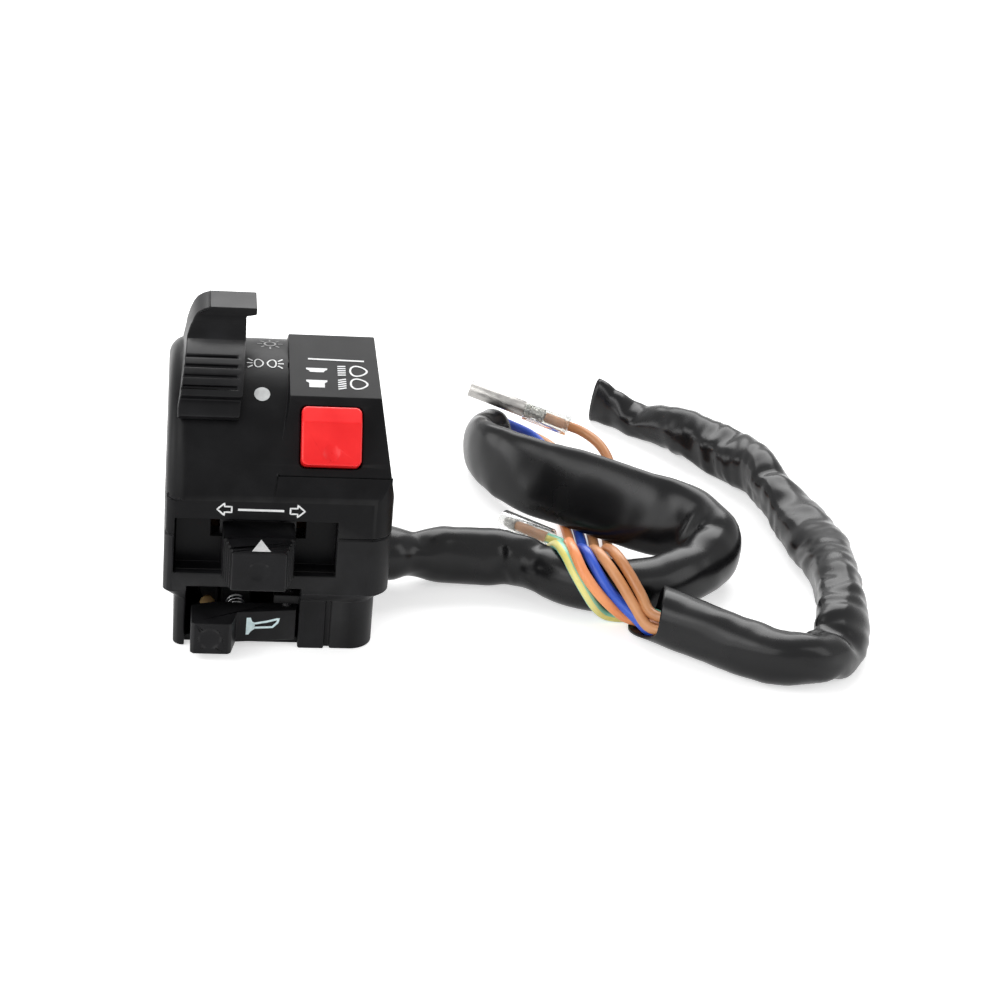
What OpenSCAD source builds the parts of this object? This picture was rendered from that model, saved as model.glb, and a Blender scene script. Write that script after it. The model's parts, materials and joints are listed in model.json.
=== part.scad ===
// Left-hand handlebar switch cluster for a 22 mm bar, with its loom.
// X runs along the bar towards the middle of the machine, -Y faces the rider, Z is up.
// The origin is the middle of the bar bore.

/* [Handlebar] */
// Diameter of the bar that the casing clamps
bar_d = 22.2; // [20:0.1:26]
// Radial clearance of the bore
bar_clear = 0.05; // [0:0.01:0.2]
// Thickness of the half-tubes that hold the bar
saddle_t = 2.3; // [1.5:0.1:4]

/* [Casing] */
// Length along the bar
case_w = 47.4; // [44:0.2:56]
// Radius of the upper casing
case_r = 29.5; // [28:0.1:34]
// Distance from the bar axis to the flat front
front_d = 28.4; // [27:0.1:32]
// Distance from the bar axis to the flat rear
rear_d = 22; // [21:0.5:28]
// Depth of the lower casing
base_h = 28.5; // [28:0.5:36]
// Depth of the wide rim of the lower casing
rim_h = 13.5; // [12.5:0.1:14]
// Wall thickness
wall = 2; // [1.6:0.1:2.4]
// Thickness of the floor
floor_t = 1.6; // [1.2:0.1:2]
// Fillet round the outer end of the barrel
end_fillet = 4; // [1:0.1:5]
// Corner radius in plan
corner_r = 5; // [3:0.1:6]
// Corner radius in plan at the outer front edge
edge_r = 2; // [1:0.1:3]
// Lean of the inner end above the lip, in degrees
lean = 10; // [0:0.5:12]
// Height of the flat front's upper edge over the bar axis
lip_h = 7.9; // [6:0.1:9]
// Height of the taper from the rim to the lower body
taper_h = 3.4; // [1:0.1:4]
// Step in of the lower body under the rim
body_in = 2.5; // [1:0.1:3]
// Step back of the lower body's front under the rim
ledge = 3.4; // [2:0.1:4]
// Groove along the joint of the two halves
seam_groove = 0.5; // [0.2:0.1:0.8]

/* [Raised block] */
// Outer end of the block
block_x = 1.2; // [0:0.1:2]
// Angle of the edge between its two faces
block_edge_a = 57.9; // [54:0.1:62]
// Rise of that edge over the barrel
block_edge_rise = 2.5; // [1.5:0.1:4]
// Angle of the crest
block_top_a = 97.5; // [92:0.1:104]
// Rise of the crest over the barrel
block_top_rise = 2.5; // [0.5:0.1:3]
// Angle where the lower face meets the barrel
block_foot_a = 26.6; // [24:0.1:30]
// Widening of its outer end at the foot
block_flare = 2.1; // [0:0.1:3]

/* [Light lever] */
// Middle of the lever along the bar
lever_x = -15.2; // [-15.6:0.1:-14.8]
// Width of the lever
lever_w = 11.8; // [10:0.1:12]
// Angle of the lever's lower end
lever_foot_a = 48.5; // [46:0.5:52]
// Angle between its positions
lever_step = 18; // [12:1:20]
// Thickness of the pad
lever_t = 3.4; // [2.6:0.1:4]
// Gap between lever and casing
lever_gap = 0.3; // [0.2:0.05:0.5]
// Height of the finger plate over the barrel
hook_h = 9; // [7:0.1:10]
// Thickness of the finger plate
hook_t = 1.6; // [1.2:0.1:2.4]
// Width of the stem
stem_w = 6; // [4:0.1:7]
// Angle that the stem takes up
stem_a = 10; // [8:0.5:12]

/* [Dimmer button] */
// Middle of the button along the bar
btn_x = 9.9; // [9.4:0.1:10.4]
// Width
btn_w = 12.4; // [11:0.1:13.4]
// Height
btn_h = 12.5; // [12:0.1:14]
// Height over the face
btn_out = 3.2; // [2:0.1:5]
// Travel
btn_travel = 2.5; // [1.5:0.1:3]
// Gap round the button
btn_gap = 0.25; // [0.15:0.05:0.4]

/* [Turn switch] */
// Right end of the slot
slot_right = 12.1; // [11:0.1:12.6]
// Top of the slot
slot_up = 3.7; // [3:0.1:4.2]
// Depth of the slot under the joint
slot_down = 9.1; // [8.6:0.1:10]
// Depth of the recess
recess_d = 5.4; // [4.5:0.1:5.6]
// Middle of the knob
knob_x = -4.2; // [-4.8:0.1:-3.6]
// Width of the knob's front
knob_front_w = 11.1; // [9:0.1:12]
// Width of the knob's root
knob_root_w = 15; // [13:0.1:16]
// Reach of the knob past the front
knob_out = 8; // [6:0.1:10]
// Travel to each side
turn_travel = 5; // [3:0.1:5.4]
// Working gap of the sliding pieces
slide_gap = 0.4; // [0.3:0.05:0.5]

/* [Horn] */
// Left end of the horn opening
horn_left = -18.8; // [-19:0.1:-18.4]
// Right end of the horn opening
horn_right = 5.2; // [4.8:0.1:5.6]
// Top of the horn opening
horn_open_z = -12.3; // [-15:0.1:-12]
// Top of the paddle
horn_top_z = -19.3; // [-20:0.1:-19]
// Reach of the thumb pad past the lower body
horn_pad_out = 6.8; // [3:0.1:7.5]
// Radius of the pivot pin
pin_r = 1.2; // [1:0.05:1.4]
// Radial clearance of the paddle on its pin
pin_clear = 0.05; // [0.02:0.01:0.1]
// Travel in degrees
horn_travel = 9; // [5:0.5:9]
// Room for the spring behind the paddle
horn_room = 6.4; // [6:0.1:7]

/* [Fasteners] */
// Radius of the screw thread
screw_r = 1.6; // [1.4:0.05:1.8]
// Radius of the screw head
head_r = 3; // [2.8:0.05:3.2]
// Depth of the counterbore
head_deep = 3; // [2.4:0.1:4]
// Radius of the boss
boss_r = 4; // [3.8:0.05:4.2]
// Height of the upper boss
boss_up = 8; // [7:0.1:8.2]

/* [Loom] */
// Diameter of the PVC sleeve
sleeve_d = 12; // [11:0.1:12.2]
// Diameter of a wire
wire_d = 2.4; // [1.8:0.1:2.5]
// Thickness of the rubber grommet
grommet_t = 1.4; // [1:0.1:1.6]

/* [Hidden] */
$fn = 64;
e = 0.01;
bore_r = bar_d / 2 + bar_clear;
saddle_r = bore_r + saddle_t;
half_w = case_w / 2;
inner_r = case_r - wall;
body_front = front_d - ledge;
body_rear = rear_d - body_in;
body_half = half_w - body_in;
floor_z = floor_t - base_h;

// A point at an angle from the front, up and over the bar
function ring(r, a) = [-r * cos(a), r * sin(a)];

foot_p = ring(case_r + 0.1, block_foot_a);
edge_p = ring(case_r + block_edge_rise, block_edge_a);
top_p = ring(case_r + block_top_rise, block_top_a);
back_p = ring(case_r - 0.4, 132);
face_d = edge_p - foot_p;
face_tilt = atan2(face_d[0], face_d[1]);
face_u = face_d / norm(face_d);
face_n = [-face_u[1], face_u[0]];
btn_p = foot_p + face_d * 0.5;
face_y = btn_p * face_u;
seat_z = sqrt(saddle_r * saddle_r - face_y * face_y) - btn_p * face_n;
stud_z = seat_z + 0.7;
pocket_z = seat_z + 1.8;
frame_z = seat_z + 4.7;
bridge_z = frame_z + 0.4;
bridge_t = 0.6;
cap_z = -5;

lever_r = case_r + lever_gap;
stem_a0 = lever_foot_a + 8.5;
stem_a1 = stem_a0 + stem_a;
light_travel = 2 * lever_step;
carrier_w = 10;
carrier_r = saddle_r + 0.06;
shutter_r = inner_r - 0.6;
light_mid = (stem_a0 + stem_a1) / 2;
front_in = front_d - wall;
rear_in = rear_d - wall;
// Angles at which a radius comes close to the flat front and rear walls
function front_a(r) = r > front_in - 0.4 ? acos((front_in - 0.4) / r) : 0;
function rear_a(r) = r > rear_in - 0.8 ? 180 - acos((rear_in - 0.8) / r) : 180;
shutter_a0 = max(front_a(shutter_r), light_mid - 48);
shutter_a1 = min(rear_a(shutter_r) - light_travel, light_mid + 38);
ball_r = 1.2;
seat_gap = 0.15;
ball_gap = 0.3;
pocket_d = 7.2;
light_spring = carrier_r + pocket_d - saddle_r - 2 * ball_r - ball_gap;

slot_left = wall - half_w;
tray_back = front_d - recess_d;
tray_t = 1.5;
tray_rear = tray_back - tray_t;
stem_tw = 9;
stem_tz0 = -2.6;
stem_tz1 = 1.2;
knob_top = 0.9;
knob_low = -slot_down + 0.25;
knob_half = knob_root_w / 2;
slider_half = 8;
slider_front = tray_rear - 0.3;
plate_half = slider_half + turn_travel + 2.5;
plate_rear = saddle_r + 0.3;
plate_front = plate_rear + 1;
wiper_rear = plate_front + slide_gap;
slider_rear = wiper_rear + 0.8;
tray_left = slot_left + 0.3;
turn_ball_r = 0.8;
turn_pocket_z = -3;
rail_z = -7.3;
turn_y = -(slider_front + slider_rear) / 2;
turn_spring = turn_pocket_z - rail_z - 2 * turn_ball_r - ball_gap;

horn_low_z = floor_z + 0.3;
pivot_x = horn_right - 2.6;
pivot_y = 3.5 - body_front;
pad_y = -body_front - horn_pad_out;
horn_back_y = pivot_y - 0.5;
stop_y = horn_back_y + horn_room;
spring_x = -8;
spring_z = (horn_low_z + horn_top_z) / 2;
nub_x = -14;
nub_swing = (pivot_x - nub_x) * sin(horn_travel) + 0.3;
nub_y = stop_y - 1.1 - nub_swing;

screw_a = [body_half - 4.2, -18];
screw_b = [-14, saddle_r + boss_r - 0.5];
cable_z = floor_z + sleeve_d / 2 + 0.9;
// The sleeve passes behind the half-tube where there is no room under it
cable_room = saddle_r + sleeve_d / 2 + 0.6;
cable_y = max(3, sqrt(max(0, cable_room * cable_room - cable_z * cable_z)));
sleeve_in = 13;
clip_x = sleeve_in + 1;
clip_y = cable_y - sleeve_d / 2 - 2.6;

// Loom, points chosen on the bench surface
rest_z = sleeve_d / 2 - base_h;
near_pts = [
  [sleeve_in, cable_y, cable_z], [24, cable_y, cable_z], [40, 6, rest_z + 0.4], [53, 6, rest_z],
  [61, 2, rest_z], [68, -3, rest_z], [77, -5, rest_z], [87, -3, rest_z], [96, 3, rest_z],
  [101, 11, rest_z + 1], [96, 18, rest_z + 2.4], [85, 23, rest_z + 3], [74, 31, rest_z + 3],
  [64, 38, rest_z + 3], [56, 47, rest_z + 2.4], [52, 56, rest_z + 1.3], [52, 63.5, rest_z + 0.5],
  [56, 70.5, rest_z]
];
far_pts = [
  [84, 92, rest_z], [93, 86, rest_z], [108, 71, rest_z], [116, 59, rest_z], [121, 46, rest_z],
  [125, 30, rest_z], [127, 14, rest_z], [127, 0, rest_z], [126, -13, rest_z], [123, -25, rest_z],
  [117, -33, rest_z], [109, -35, rest_z], [100, -30, rest_z], [92, -24, rest_z], [84, -18, rest_z]
];
low_z = wire_d / 2 - base_h;
plug_r = 2.5;
plug_z = plug_r - base_h;
end_gap = 0.3;

// Heights over the middle of a sleeve grow with the two diameters, ways spread with the wire
two_d = sleeve_d + wire_d;
climb = max(two_d / 14.4, 1 + (two_d - 14.4) / 9);
function lay(k, pts) = [
  for (p = pts)
    [p[0] + k * (wire_d - 2.4), p[1], max(low_z, rest_z + p[2] * climb)]
];
// Last stretch of a wire, straight into its terminal
function tail_in(p, v) = [p - v * 4, p];

// Wire end, the direction in which its terminal points, and the terminal's length
plugs = [
  [[64.6, 23.3, plug_z], [-0.754, 0.657, 0], 13],
  [[73, 66.3, rest_z + 4.9 + (sleeve_d - 12) * 0.8], [-0.929, 0.295, 0.2205], 25]
];
// Ways of the wires, each from the mouth of the far sleeve
tan_pts = lay(1, [
  [81.7, -20.2, -1.4], [80.2, -17.6, -1.2], [79.8, -14.4, 0.5], [79.6, -11.9, 3.3], [78.9, -8.6, 6.9],
  [77.96, -4.93, 7.6], [77.29, -1.2, 6.6], [76.89, 2.57, 3.4], [76.78, 6.36, -0.2], [76.8, 10.15, -3.7],
  [76.82, 13.94, -4.8], [76.81, 17.73, -4.8], [76.53, 25.3, -4.8], [75.2, 48, -4.8], [74.2, 56, -4.8],
  [73.7, 63, -4.8], [73, 69.9, -4.8], [67.8, 76.7, -3.9], [59.8, 77.8, -2.1], [55.68, 74.37, -1],
  [54.39, 72.11, -1]
]);
orange_pts = lay(-1, [
  [84.4, -16.4, -3.4], [81.2, -13.9, -3.9], [79.3, -13.05, -4.2], [77, -13.1, -4.3],
  [75.2, -13.2, -3.1], [73.9, -12.8, 0.5], [73.2, -10, 5.7], [72.29, -6.22, 7.3], [71.51, -2.42, 7.5],
  [70.9, 1.42, 5.8], [70.58, 5.3, 2.1], [70.42, 9.18, -1.6], [70.38, 13.07, -4.5], [70.41, 16.95, -4.8],
  [69.97, 28.6, -4.8], [68.8, 48, -4.8], [67.8, 56, -4.8], [67, 68.3, -4.8], [64.7, 71.3, -4.1],
  [60.9, 71.8, -2.5], [59.5, 72.19, -1], [58.21, 69.93, -1]
]);
green_pts = concat(lay(-2, [
  [85.7, -14.8, -1.6], [82.9, -11.7, -2.7], [79.6, -10.3, -4.8], [76.5, -10.5, -4.8],
  [73.6, -10.5, -4.3], [71.4, -11.2, -1.7], [70.1, -11.1, 1.9], [69.5, -8.6, 6.7], [69.1, -4.96, 7.4],
  [68.27, -1.35, 7.4], [67.73, 2.3, 6.4], [67.45, 5.99, 3.4], [67.2, 9.68, -0.1], [67.9, 16.6, -3.6]
]), tail_in(plugs[0][0], plugs[0][1]));
blue_pts = lay(0, [
  [82.6, -18.7, -3.6], [80, -16.4, -4], [78.1, -15, -2.4], [77, -12.9, 1.1], [76.2, -9.8, 6.1],
  [75.23, -6.05, 7.5], [74.48, -2.25, 7.3], [73.94, 1.58, 5], [73.69, 5.45, 1.3], [73.61, 9.32, -2.4],
  [73.59, 13.19, -4.7], [73.61, 17.06, -4.8], [73.36, 24.8, -4.8], [72, 48, -4.8], [71, 56, -4.8],
  [70.5, 63, -4.8], [70, 69.1, -4.3], [66.3, 74, -2.1], [60.1, 74.8, 0.5], [57.59, 73.28, 2],
  [56.3, 71.02, 2]
]);
brown_pts = concat(lay(2, [
  [82.2, -18.3, 1], [82.5, -15.4, 1.7], [82.6, -12, 3.3], [82.2, -8.4, 6.3], [80.99, -4.7, 7.6],
  [80.16, -0.9, 6.8], [79.87, 2.98, 3.5], [80, 10.77, -3.7], [80.03, 14.66, -4.8], [79.86, 22.45, -4.8],
  [79, 38, -4.8], [81.2, 46, -3.1], [83, 53.5, -0.1], [81, 60.2, 2.6]
]), tail_in(plugs[1][0], plugs[1][1]));

// Profile in Y and Z, pushed along the bar
module along_x(x0, x1) {
  translate([x0, 0, 0])
    rotate([90, 0, 90])
      linear_extrude(x1 - x0)
        children();
}

// Profile in X and Z, pushed from front to rear
module along_y(y0, y1) {
  translate([0, y1, 0])
    rotate([90, 0, 0])
      linear_extrude(y1 - y0)
        children();
}

// Profile in radius and X, turned about the bar from one angle to another
module turned(a0, a1) {
  rotate([0, 90, 0])
    rotate([0, 0, 270 - a1])
      rotate_extrude(angle = a1 - a0)
        children();
}

module arc_bar(r0, r1, a0, a1, x0, x1) {
  turned(a0, a1)
    translate([r0, x0])
      square([r1 - r0, x1 - x0]);
}

module bar_rod(r, x0, x1) {
  translate([x0, 0, 0])
    rotate([0, 90, 0])
      cylinder(r = r, h = x1 - x0, $fn = 128);
}

module block(x0, x1, y0, y1, z0, z1) {
  translate([x0, y0, z0])
    cube([x1 - x0, y1 - y0, z1 - z0]);
}

// Rectangle with its own radius at each corner, counted from the front left
module rounded(x0, x1, y0, y1, r) {
  px = [x0, x1, x1, x0];
  py = [y0, y0, y1, y1];
  sx = [1, -1, -1, 1];
  sy = [1, 1, -1, -1];
  difference() {
    translate([x0, y0])
      square([x1 - x0, y1 - y0]);
    for (i = [0:3])
      translate([px[i], py[i]])
        scale([sx[i], sy[i]])
          difference() {
            translate([-1, -1])
              square(r[i] + 1);
            translate([r[i], r[i]])
              circle(r[i]);
          }
  }
}

// A tube through a list of points
module cord(pts, d, sides) {
  n = len(pts);
  rings = [
    for (i = [0:n - 1])
      let (
        t0 = pts[min(i + 1, n - 1)] - pts[max(i - 1, 0)],
        t = t0 / norm(t0),
        s0 = cross(t, [0, 0, 1]),
        s = s0 / norm(s0),
        u = cross(s, t)
      )
        for (k = [0:sides - 1])
          pts[i] + d / 2 * (s * cos(360 * k / sides) + u * sin(360 * k / sides))
  ];
  sides_a = [
    for (i = [0:n - 2]) for (k = [0:sides - 1])
      [i * sides + k, (i + 1) * sides + k, (i + 1) * sides + (k + 1) % sides]
  ];
  sides_b = [
    for (i = [0:n - 2]) for (k = [0:sides - 1])
      [i * sides + k, (i + 1) * sides + (k + 1) % sides, i * sides + (k + 1) % sides]
  ];
  cap_a = [[for (k = [0:sides - 1]) k]];
  cap_b = [[for (k = [0:sides - 1]) (n - 1) * sides + sides - 1 - k]];
  polyhedron(rings, concat(sides_a, sides_b, cap_a, cap_b));
}

// A coil spring standing on z = 0, between two flat faces
module coil(r, d, h, turns) {
  per = 8;
  sides = 6;
  n = per * turns;
  rise = h - d;
  rings = [
    for (i = [0:n]) let (a = 360 * i / per, z = d / 2 + rise * i / n)
      for (k = [0:sides - 1]) let (b = 360 * k / sides + 30)
        [(r + d / 2 * cos(b)) * cos(a), (r + d / 2 * cos(b)) * sin(a), z + d / 2 * sin(b)]
  ];
  walls = [
    for (i = [0:n - 1]) for (k = [0:sides - 1]) for (f = [0, 1])
      let (p = i * sides + k, q = i * sides + (k + 1) % sides)
        f == 0 ? [p, p + sides, q + sides] : [p, q + sides, q]
  ];
  cap_a = [[for (k = [0:sides - 1]) k]];
  cap_b = [[for (k = [0:sides - 1]) n * sides + sides - 1 - k]];
  polyhedron(rings, concat(walls, cap_a, cap_b));
}

// Places its child on the button face, with z out of the face
module on_face() {
  translate([btn_x, btn_p[0], btn_p[1]])
    rotate([90 - face_tilt, 0, 0])
      children();
}

module screw_holes(r, z0, z1) {
  for (p = [screw_a, screw_b])
    translate([p[0], p[1], z0])
      cylinder(r = r, h = z1 - z0);
}

// Corner radii of an outline that is drawn in by t
function corners(t) = [for (r = [edge_r, corner_r, corner_r, corner_r]) max(r - t, 0.2)];

// Outline of the upper casing seen from above, drawn in by t
module upper_plan(t) {
  rounded(t - half_w, half_w - t, t - front_d, rear_d - t, corners(t));
}

// Outline seen from the front, drawn in by t
module upper_front(t) {
  top = 50;
  polygon([
    [t - half_w, -e], [half_w - t, -e], [half_w - t, lip_h],
    [half_w - t - (top - lip_h) * tan(lean), top], [t - half_w, top]
  ]);
}

module barrel() {
  f = end_fillet;
  turned(0, 180) {
    square([case_r - f, e]);
    translate([0, -half_w])
      difference() {
        square([case_r, case_w]);
        translate([case_r - f, 0])
          difference() {
            translate([0, -e])
              square([f + e, f + e]);
            translate([0, f])
              circle(f);
          }
      }
  }
}

module upper_casing() {
  color([0.05, 0.05, 0.055])
    difference() {
      union() {
        difference() {
          intersection() {
            union() {
              barrel();
              block(0.2 - half_w, half_w, -front_d, 0, 0, lip_h);
              // raised block, wider at its foot
              intersection() {
                along_x(block_x - block_flare, half_w)
                  polygon([[0, 0], foot_p, edge_p, top_p, back_p]);
                along_y(-case_r - 9, case_r)
                  polygon([
                    [block_x - block_flare, -1], [block_x - block_flare, foot_p[1]], [block_x, edge_p[1]],
                    [block_x, case_r + 9], [half_w, case_r + 9], [half_w, -1]
                  ]);
              }
            }
            linear_extrude(case_r + 10)
              upper_plan(0);
            along_y(-front_d - 1, rear_d + 1)
              upper_front(0);
          }
          // hollow inside the walls
          intersection() {
            union() {
              bar_rod(inner_r, wall - half_w, half_w);
              block(wall - half_w, half_w, -front_d, 0, -1, lip_h - wall);
            }
            translate([0, 0, -e])
              linear_extrude(case_r)
                upper_plan(wall);
            along_y(-front_d, rear_d)
              upper_front(wall);
          }
        }
        // half-tube on the bar
        intersection() {
          bar_rod(saddle_r, -half_w, half_w);
          block(-half_w, half_w, -saddle_r, saddle_r, 0, saddle_r);
          along_y(-saddle_r, saddle_r)
            upper_front(0);
        }
        intersection() {
          union() {
            screw_bosses(0, boss_up);
            // web that ties the boss to the end wall
            block(screw_a[0], half_w, screw_a[1] - 1, screw_a[1] + 1, 0, boss_up);
          }
          linear_extrude(boss_up)
            upper_plan(wall / 2);
        }
      }
      bar_rod(bore_r, -half_w - 1, half_w + 1);
      screw_holes(screw_r, -1, boss_up - 1.5);
      // way for the light lever's stem
      arc_bar(inner_r - 1, case_r + 1, stem_a0 - 1.2, stem_a1 + light_travel + 1.2,
        lever_x - stem_w / 2 - slide_gap, lever_x + stem_w / 2 + slide_gap);
      // notches for the light detent
      for (i = [0:2])
        rotate([-(stem_a0 + stem_a / 2 + i * lever_step), 0, 0])
          translate([lever_x, -saddle_r - 0.9, 0])
            sphere(r = 1.2, $fn = 32);
      on_face()
        translate([0, 0, cap_z - btn_travel - 0.5])
          linear_extrude(20)
            rounded(-btn_w / 2 - btn_gap, btn_w / 2 + btn_gap, -btn_h / 2 - btn_gap, btn_h / 2 + btn_gap,
              [1.3, 1.3, 1.3, 1.3]);
      block(slot_left, slot_right, -front_d - 1, -front_in + 0.5, -1, slot_up);
    }
}

module screw_bosses(z0, z1) {
  screw_holes(boss_r, z0, z1);
}

module rim_plan(t) {
  rounded(t - half_w, half_w - t, t - front_d, rear_d - t, corners(t));
}

module body_plan(t) {
  rounded(t - body_half, body_half - t, t - body_front, body_rear - t, corners(t));
}

module lower_casing() {
  grommet_r = sleeve_d / 2 + grommet_t;
  color([0.09, 0.09, 0.095])
    difference() {
      union() {
        difference() {
          union() {
            translate([0, 0, -rim_h])
              linear_extrude(rim_h - seam_groove)
                rim_plan(0);
            translate([0, 0, -seam_groove - e])
              linear_extrude(seam_groove + e)
                rim_plan(seam_groove);
            translate([0, 0, -base_h])
              linear_extrude(base_h - rim_h + 1)
                body_plan(0);
            hull() {
              translate([0, 0, -rim_h])
                linear_extrude(1)
                  rim_plan(0);
              translate([0, 0, -rim_h - taper_h])
                linear_extrude(1)
                  body_plan(0);
            }
          }
          translate([0, 0, wall - rim_h])
            linear_extrude(rim_h)
              rim_plan(wall);
          translate([0, 0, floor_z])
            linear_extrude(base_h)
              body_plan(wall);
        }
        intersection() {
          bar_rod(saddle_r, seam_groove - half_w, half_w - seam_groove);
          block(-half_w, half_w, -saddle_r, saddle_r, -saddle_r, 0);
        }
        // end walls that carry the half-tube
        for (x = [seam_groove - half_w, half_w - body_in - wall])
          block(x, x + wall + body_in - seam_groove, -saddle_r, saddle_r, -rim_h, 0);
        intersection() {
          screw_bosses(-base_h, 0);
          union() {
            translate([0, 0, -rim_h])
              linear_extrude(rim_h)
                rim_plan(seam_groove);
            translate([0, 0, -base_h])
              linear_extrude(base_h)
                body_plan(0);
          }
        }
        // upper ear of the horn pivot
        block(pivot_x - 2.8, horn_right + wall, -body_front + 1, pivot_y + 3, horn_top_z + 0.3, horn_top_z + 2.4);
        // stops for the horn spring and contact
        block(spring_x - 3.2, spring_x + 3.2, stop_y, stop_y + wall, floor_z - e, spring_z + 4);
        block(nub_x - 2.2, nub_x + 2.2, stop_y, stop_y + wall, floor_z - e, spring_z + 4);
      }
      bar_rod(bore_r, -half_w - 1, half_w + 1);
      screw_holes(screw_r + 0.3, -base_h - 1, 1);
      screw_holes(head_r + 0.4, -base_h - 1, head_deep - base_h);
      block(slot_left, slot_right, -front_d - 1, -front_in + 0.5, -slot_down, 1);
      // horn opening, with the floor cut back under the paddle
      block(horn_left, horn_right, -front_d - 1, -body_front + wall + e, floor_z, horn_open_z);
      block(horn_left, horn_right, -front_d - 1, -body_front + wall, -base_h - 1, floor_z + e);
      translate([pivot_x, pivot_y, -base_h + 0.4])
        cylinder(r = pin_r, h = base_h);
      translate([nub_x, stop_y - 1, spring_z])
        rotate([-90, 0, 0])
          cylinder(r = 1, h = wall + 2);
      // groove beside the screw column
      block(horn_right + 5.6, horn_right + 6.8, -body_front - 1, -body_front + 0.8, -base_h - 1, -rim_h - taper_h);
      translate([body_half - wall - 1, cable_y, cable_z])
        rotate([0, 90, 0])
          cylinder(r = grommet_r, h = wall + 1);
      // recess round the grommet's flange
      intersection() {
        translate([body_half, cable_y, cable_z])
          rotate([0, 90, 0])
            cylinder(r = grommet_r + 0.5 + slide_gap, h = body_in + 1);
        block(body_half, half_w + 1, -front_d, rear_d, -base_h - 1, -rim_h);
      }
      translate([clip_x + 1.5, clip_y, floor_z - 1.1])
        cylinder(r = 1, h = 3);
    }
}

module casing_screws() {
  color([0.72, 0.72, 0.74])
    for (p = [screw_a, screw_b])
      translate([p[0], p[1], head_deep - base_h])
        difference() {
          union() {
            cylinder(r = screw_r, h = base_h - head_deep + boss_up - 2);
            translate([0, 0, -2.2])
              cylinder(r = head_r, h = 2.2);
          }
          for (a = [0, 90])
            rotate(a)
              block(-2, 2, -0.45, 0.45, -3, -1.2);
        }
}

module light_lever() {
  pad_r = lever_r + lever_t;
  hook_z = case_r + hook_h;
  x0 = lever_x - lever_w / 2;
  x1 = lever_x + lever_w / 2;
  color([0.05, 0.05, 0.055])
    union() {
      intersection() {
        union() {
          // ribbed pad with a lower tail
          difference() {
            arc_bar(lever_r, pad_r, lever_foot_a + 7, 96, x0 - 1, half_w);
            for (i = [0:3])
              arc_bar(pad_r - 0.7, pad_r + 1, 58.5 + i * 4.87, 60 + i * 4.87, x0 - 2, x1 - 0.4);
          }
          arc_bar(lever_r, pad_r - 1.6, lever_foot_a, lever_foot_a + 8, x0 - 1, half_w);
          // neck and finger plate
          difference() {
            along_x(x0 - 1, half_w)
              difference() {
                polygon([
                  [-6, lever_r - 1], [-6, pad_r - 0.4], [1.2, hook_z - hook_t], [1.2, hook_z],
                  [10.2, hook_z], [10.2, hook_z - hook_t], [6.6, pad_r - 1], [6.6, lever_r - 4]
                ]);
                translate([-6.2, hook_z])
                  circle(6.2);
              }
            bar_rod(lever_r, x0 - 2, half_w + 1);
          }
        }
        along_y(-case_r - 10, case_r)
          polygon([
            [x0 - 0.7, case_r - 19.5], [x0 - 0.7, case_r - 5], [x0 - 0.1, case_r - 1.2],
            [x0 + 0.9, pad_r + 0.3], [x0 + 1.5, hook_z - 3.4], [x0 + 2.2, hook_z - 2.2],
            [x0 + 3.1, hook_z - 1.2], [x0 + 4.2, hook_z - 0.5], [x0 + 5.4, hook_z - 0.1],
            [x0 + 6, hook_z + 1], [x1 + 3.6, hook_z + 1], [x1 + 3.6, hook_z - hook_t],
            [x1 + 1.4, hook_z - hook_t - 0.2],
            [x1 + 1.4, pad_r], [x1, case_r - 7.5], [x1, case_r - 19.5]
          ]);
      }
      arc_bar(shutter_r - 3, lever_r + 0.5, stem_a0, stem_a1, lever_x - stem_w / 2, lever_x + stem_w / 2);
    }
}

module light_carrier() {
  x0 = lever_x - carrier_w / 2;
  x1 = lever_x + carrier_w / 2;
  mid = light_mid;
  color([0.85, 0.84, 0.8])
    difference() {
      union() {
        arc_bar(carrier_r, carrier_r + 2.8, mid - 32, mid + 36, x0, x1);
        arc_bar(carrier_r + 2, shutter_r - 1, mid - 10, mid + 10, x0, x1);
        arc_bar(shutter_r - 1.6, shutter_r, shutter_a0, shutter_a1, x0, x1);
      }
      arc_bar(shutter_r - 3, shutter_r + 1, stem_a0, stem_a1, lever_x - stem_w / 2, lever_x + stem_w / 2);
      rotate([-mid, 0, 0])
        translate([lever_x, -carrier_r - pocket_d, 0])
          rotate([-90, 0, 0])
            cylinder(r = 1.4, h = 10, $fn = 32);
    }
}

module light_wiper() {
  x1 = lever_x + carrier_w / 2;
  mid = light_mid;
  color([0.8, 0.55, 0.25])
    arc_bar(carrier_r + 4, carrier_r + 8, mid - 7, mid + 7, x1, x1 + 1.2);
}

light_plate_x = lever_x + carrier_w / 2 + 1.9;

module light_contact_plate() {
  color([0.45, 0.28, 0.16])
    difference() {
      arc_bar(saddle_r + seat_gap, shutter_r - 2.5, 30, min(140, rear_a(shutter_r - 2.5)),
        light_plate_x, light_plate_x + 1.4);
      light_studs(0);
    }
}

module light_studs(grow) {
  mid = light_mid;
  for (i = [0:2])
    rotate([-(mid + i * lever_step), 0, 0])
      translate([light_plate_x - 0.3, -carrier_r - 6, 0])
        rotate([0, 90, 0])
          cylinder(r = 1.2, h = 2.1 + grow, $fn = 32);
}

module light_contacts() {
  color([0.8, 0.55, 0.25])
    light_studs(0);
}

module light_detent_ball() {
  mid = light_mid;
  color([0.75, 0.75, 0.77])
    rotate([-mid, 0, 0])
      translate([lever_x, -saddle_r - ball_r - ball_gap, 0])
        sphere(r = ball_r, $fn = 24);
}

module light_detent_spring() {
  mid = light_mid;
  color([0.7, 0.7, 0.72])
    rotate([-mid, 0, 0])
      translate([lever_x, -saddle_r - 2 * ball_r - ball_gap, 0])
        rotate([90, 0, 0])
          coil(1, 0.4, light_spring, 5);
}

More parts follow.
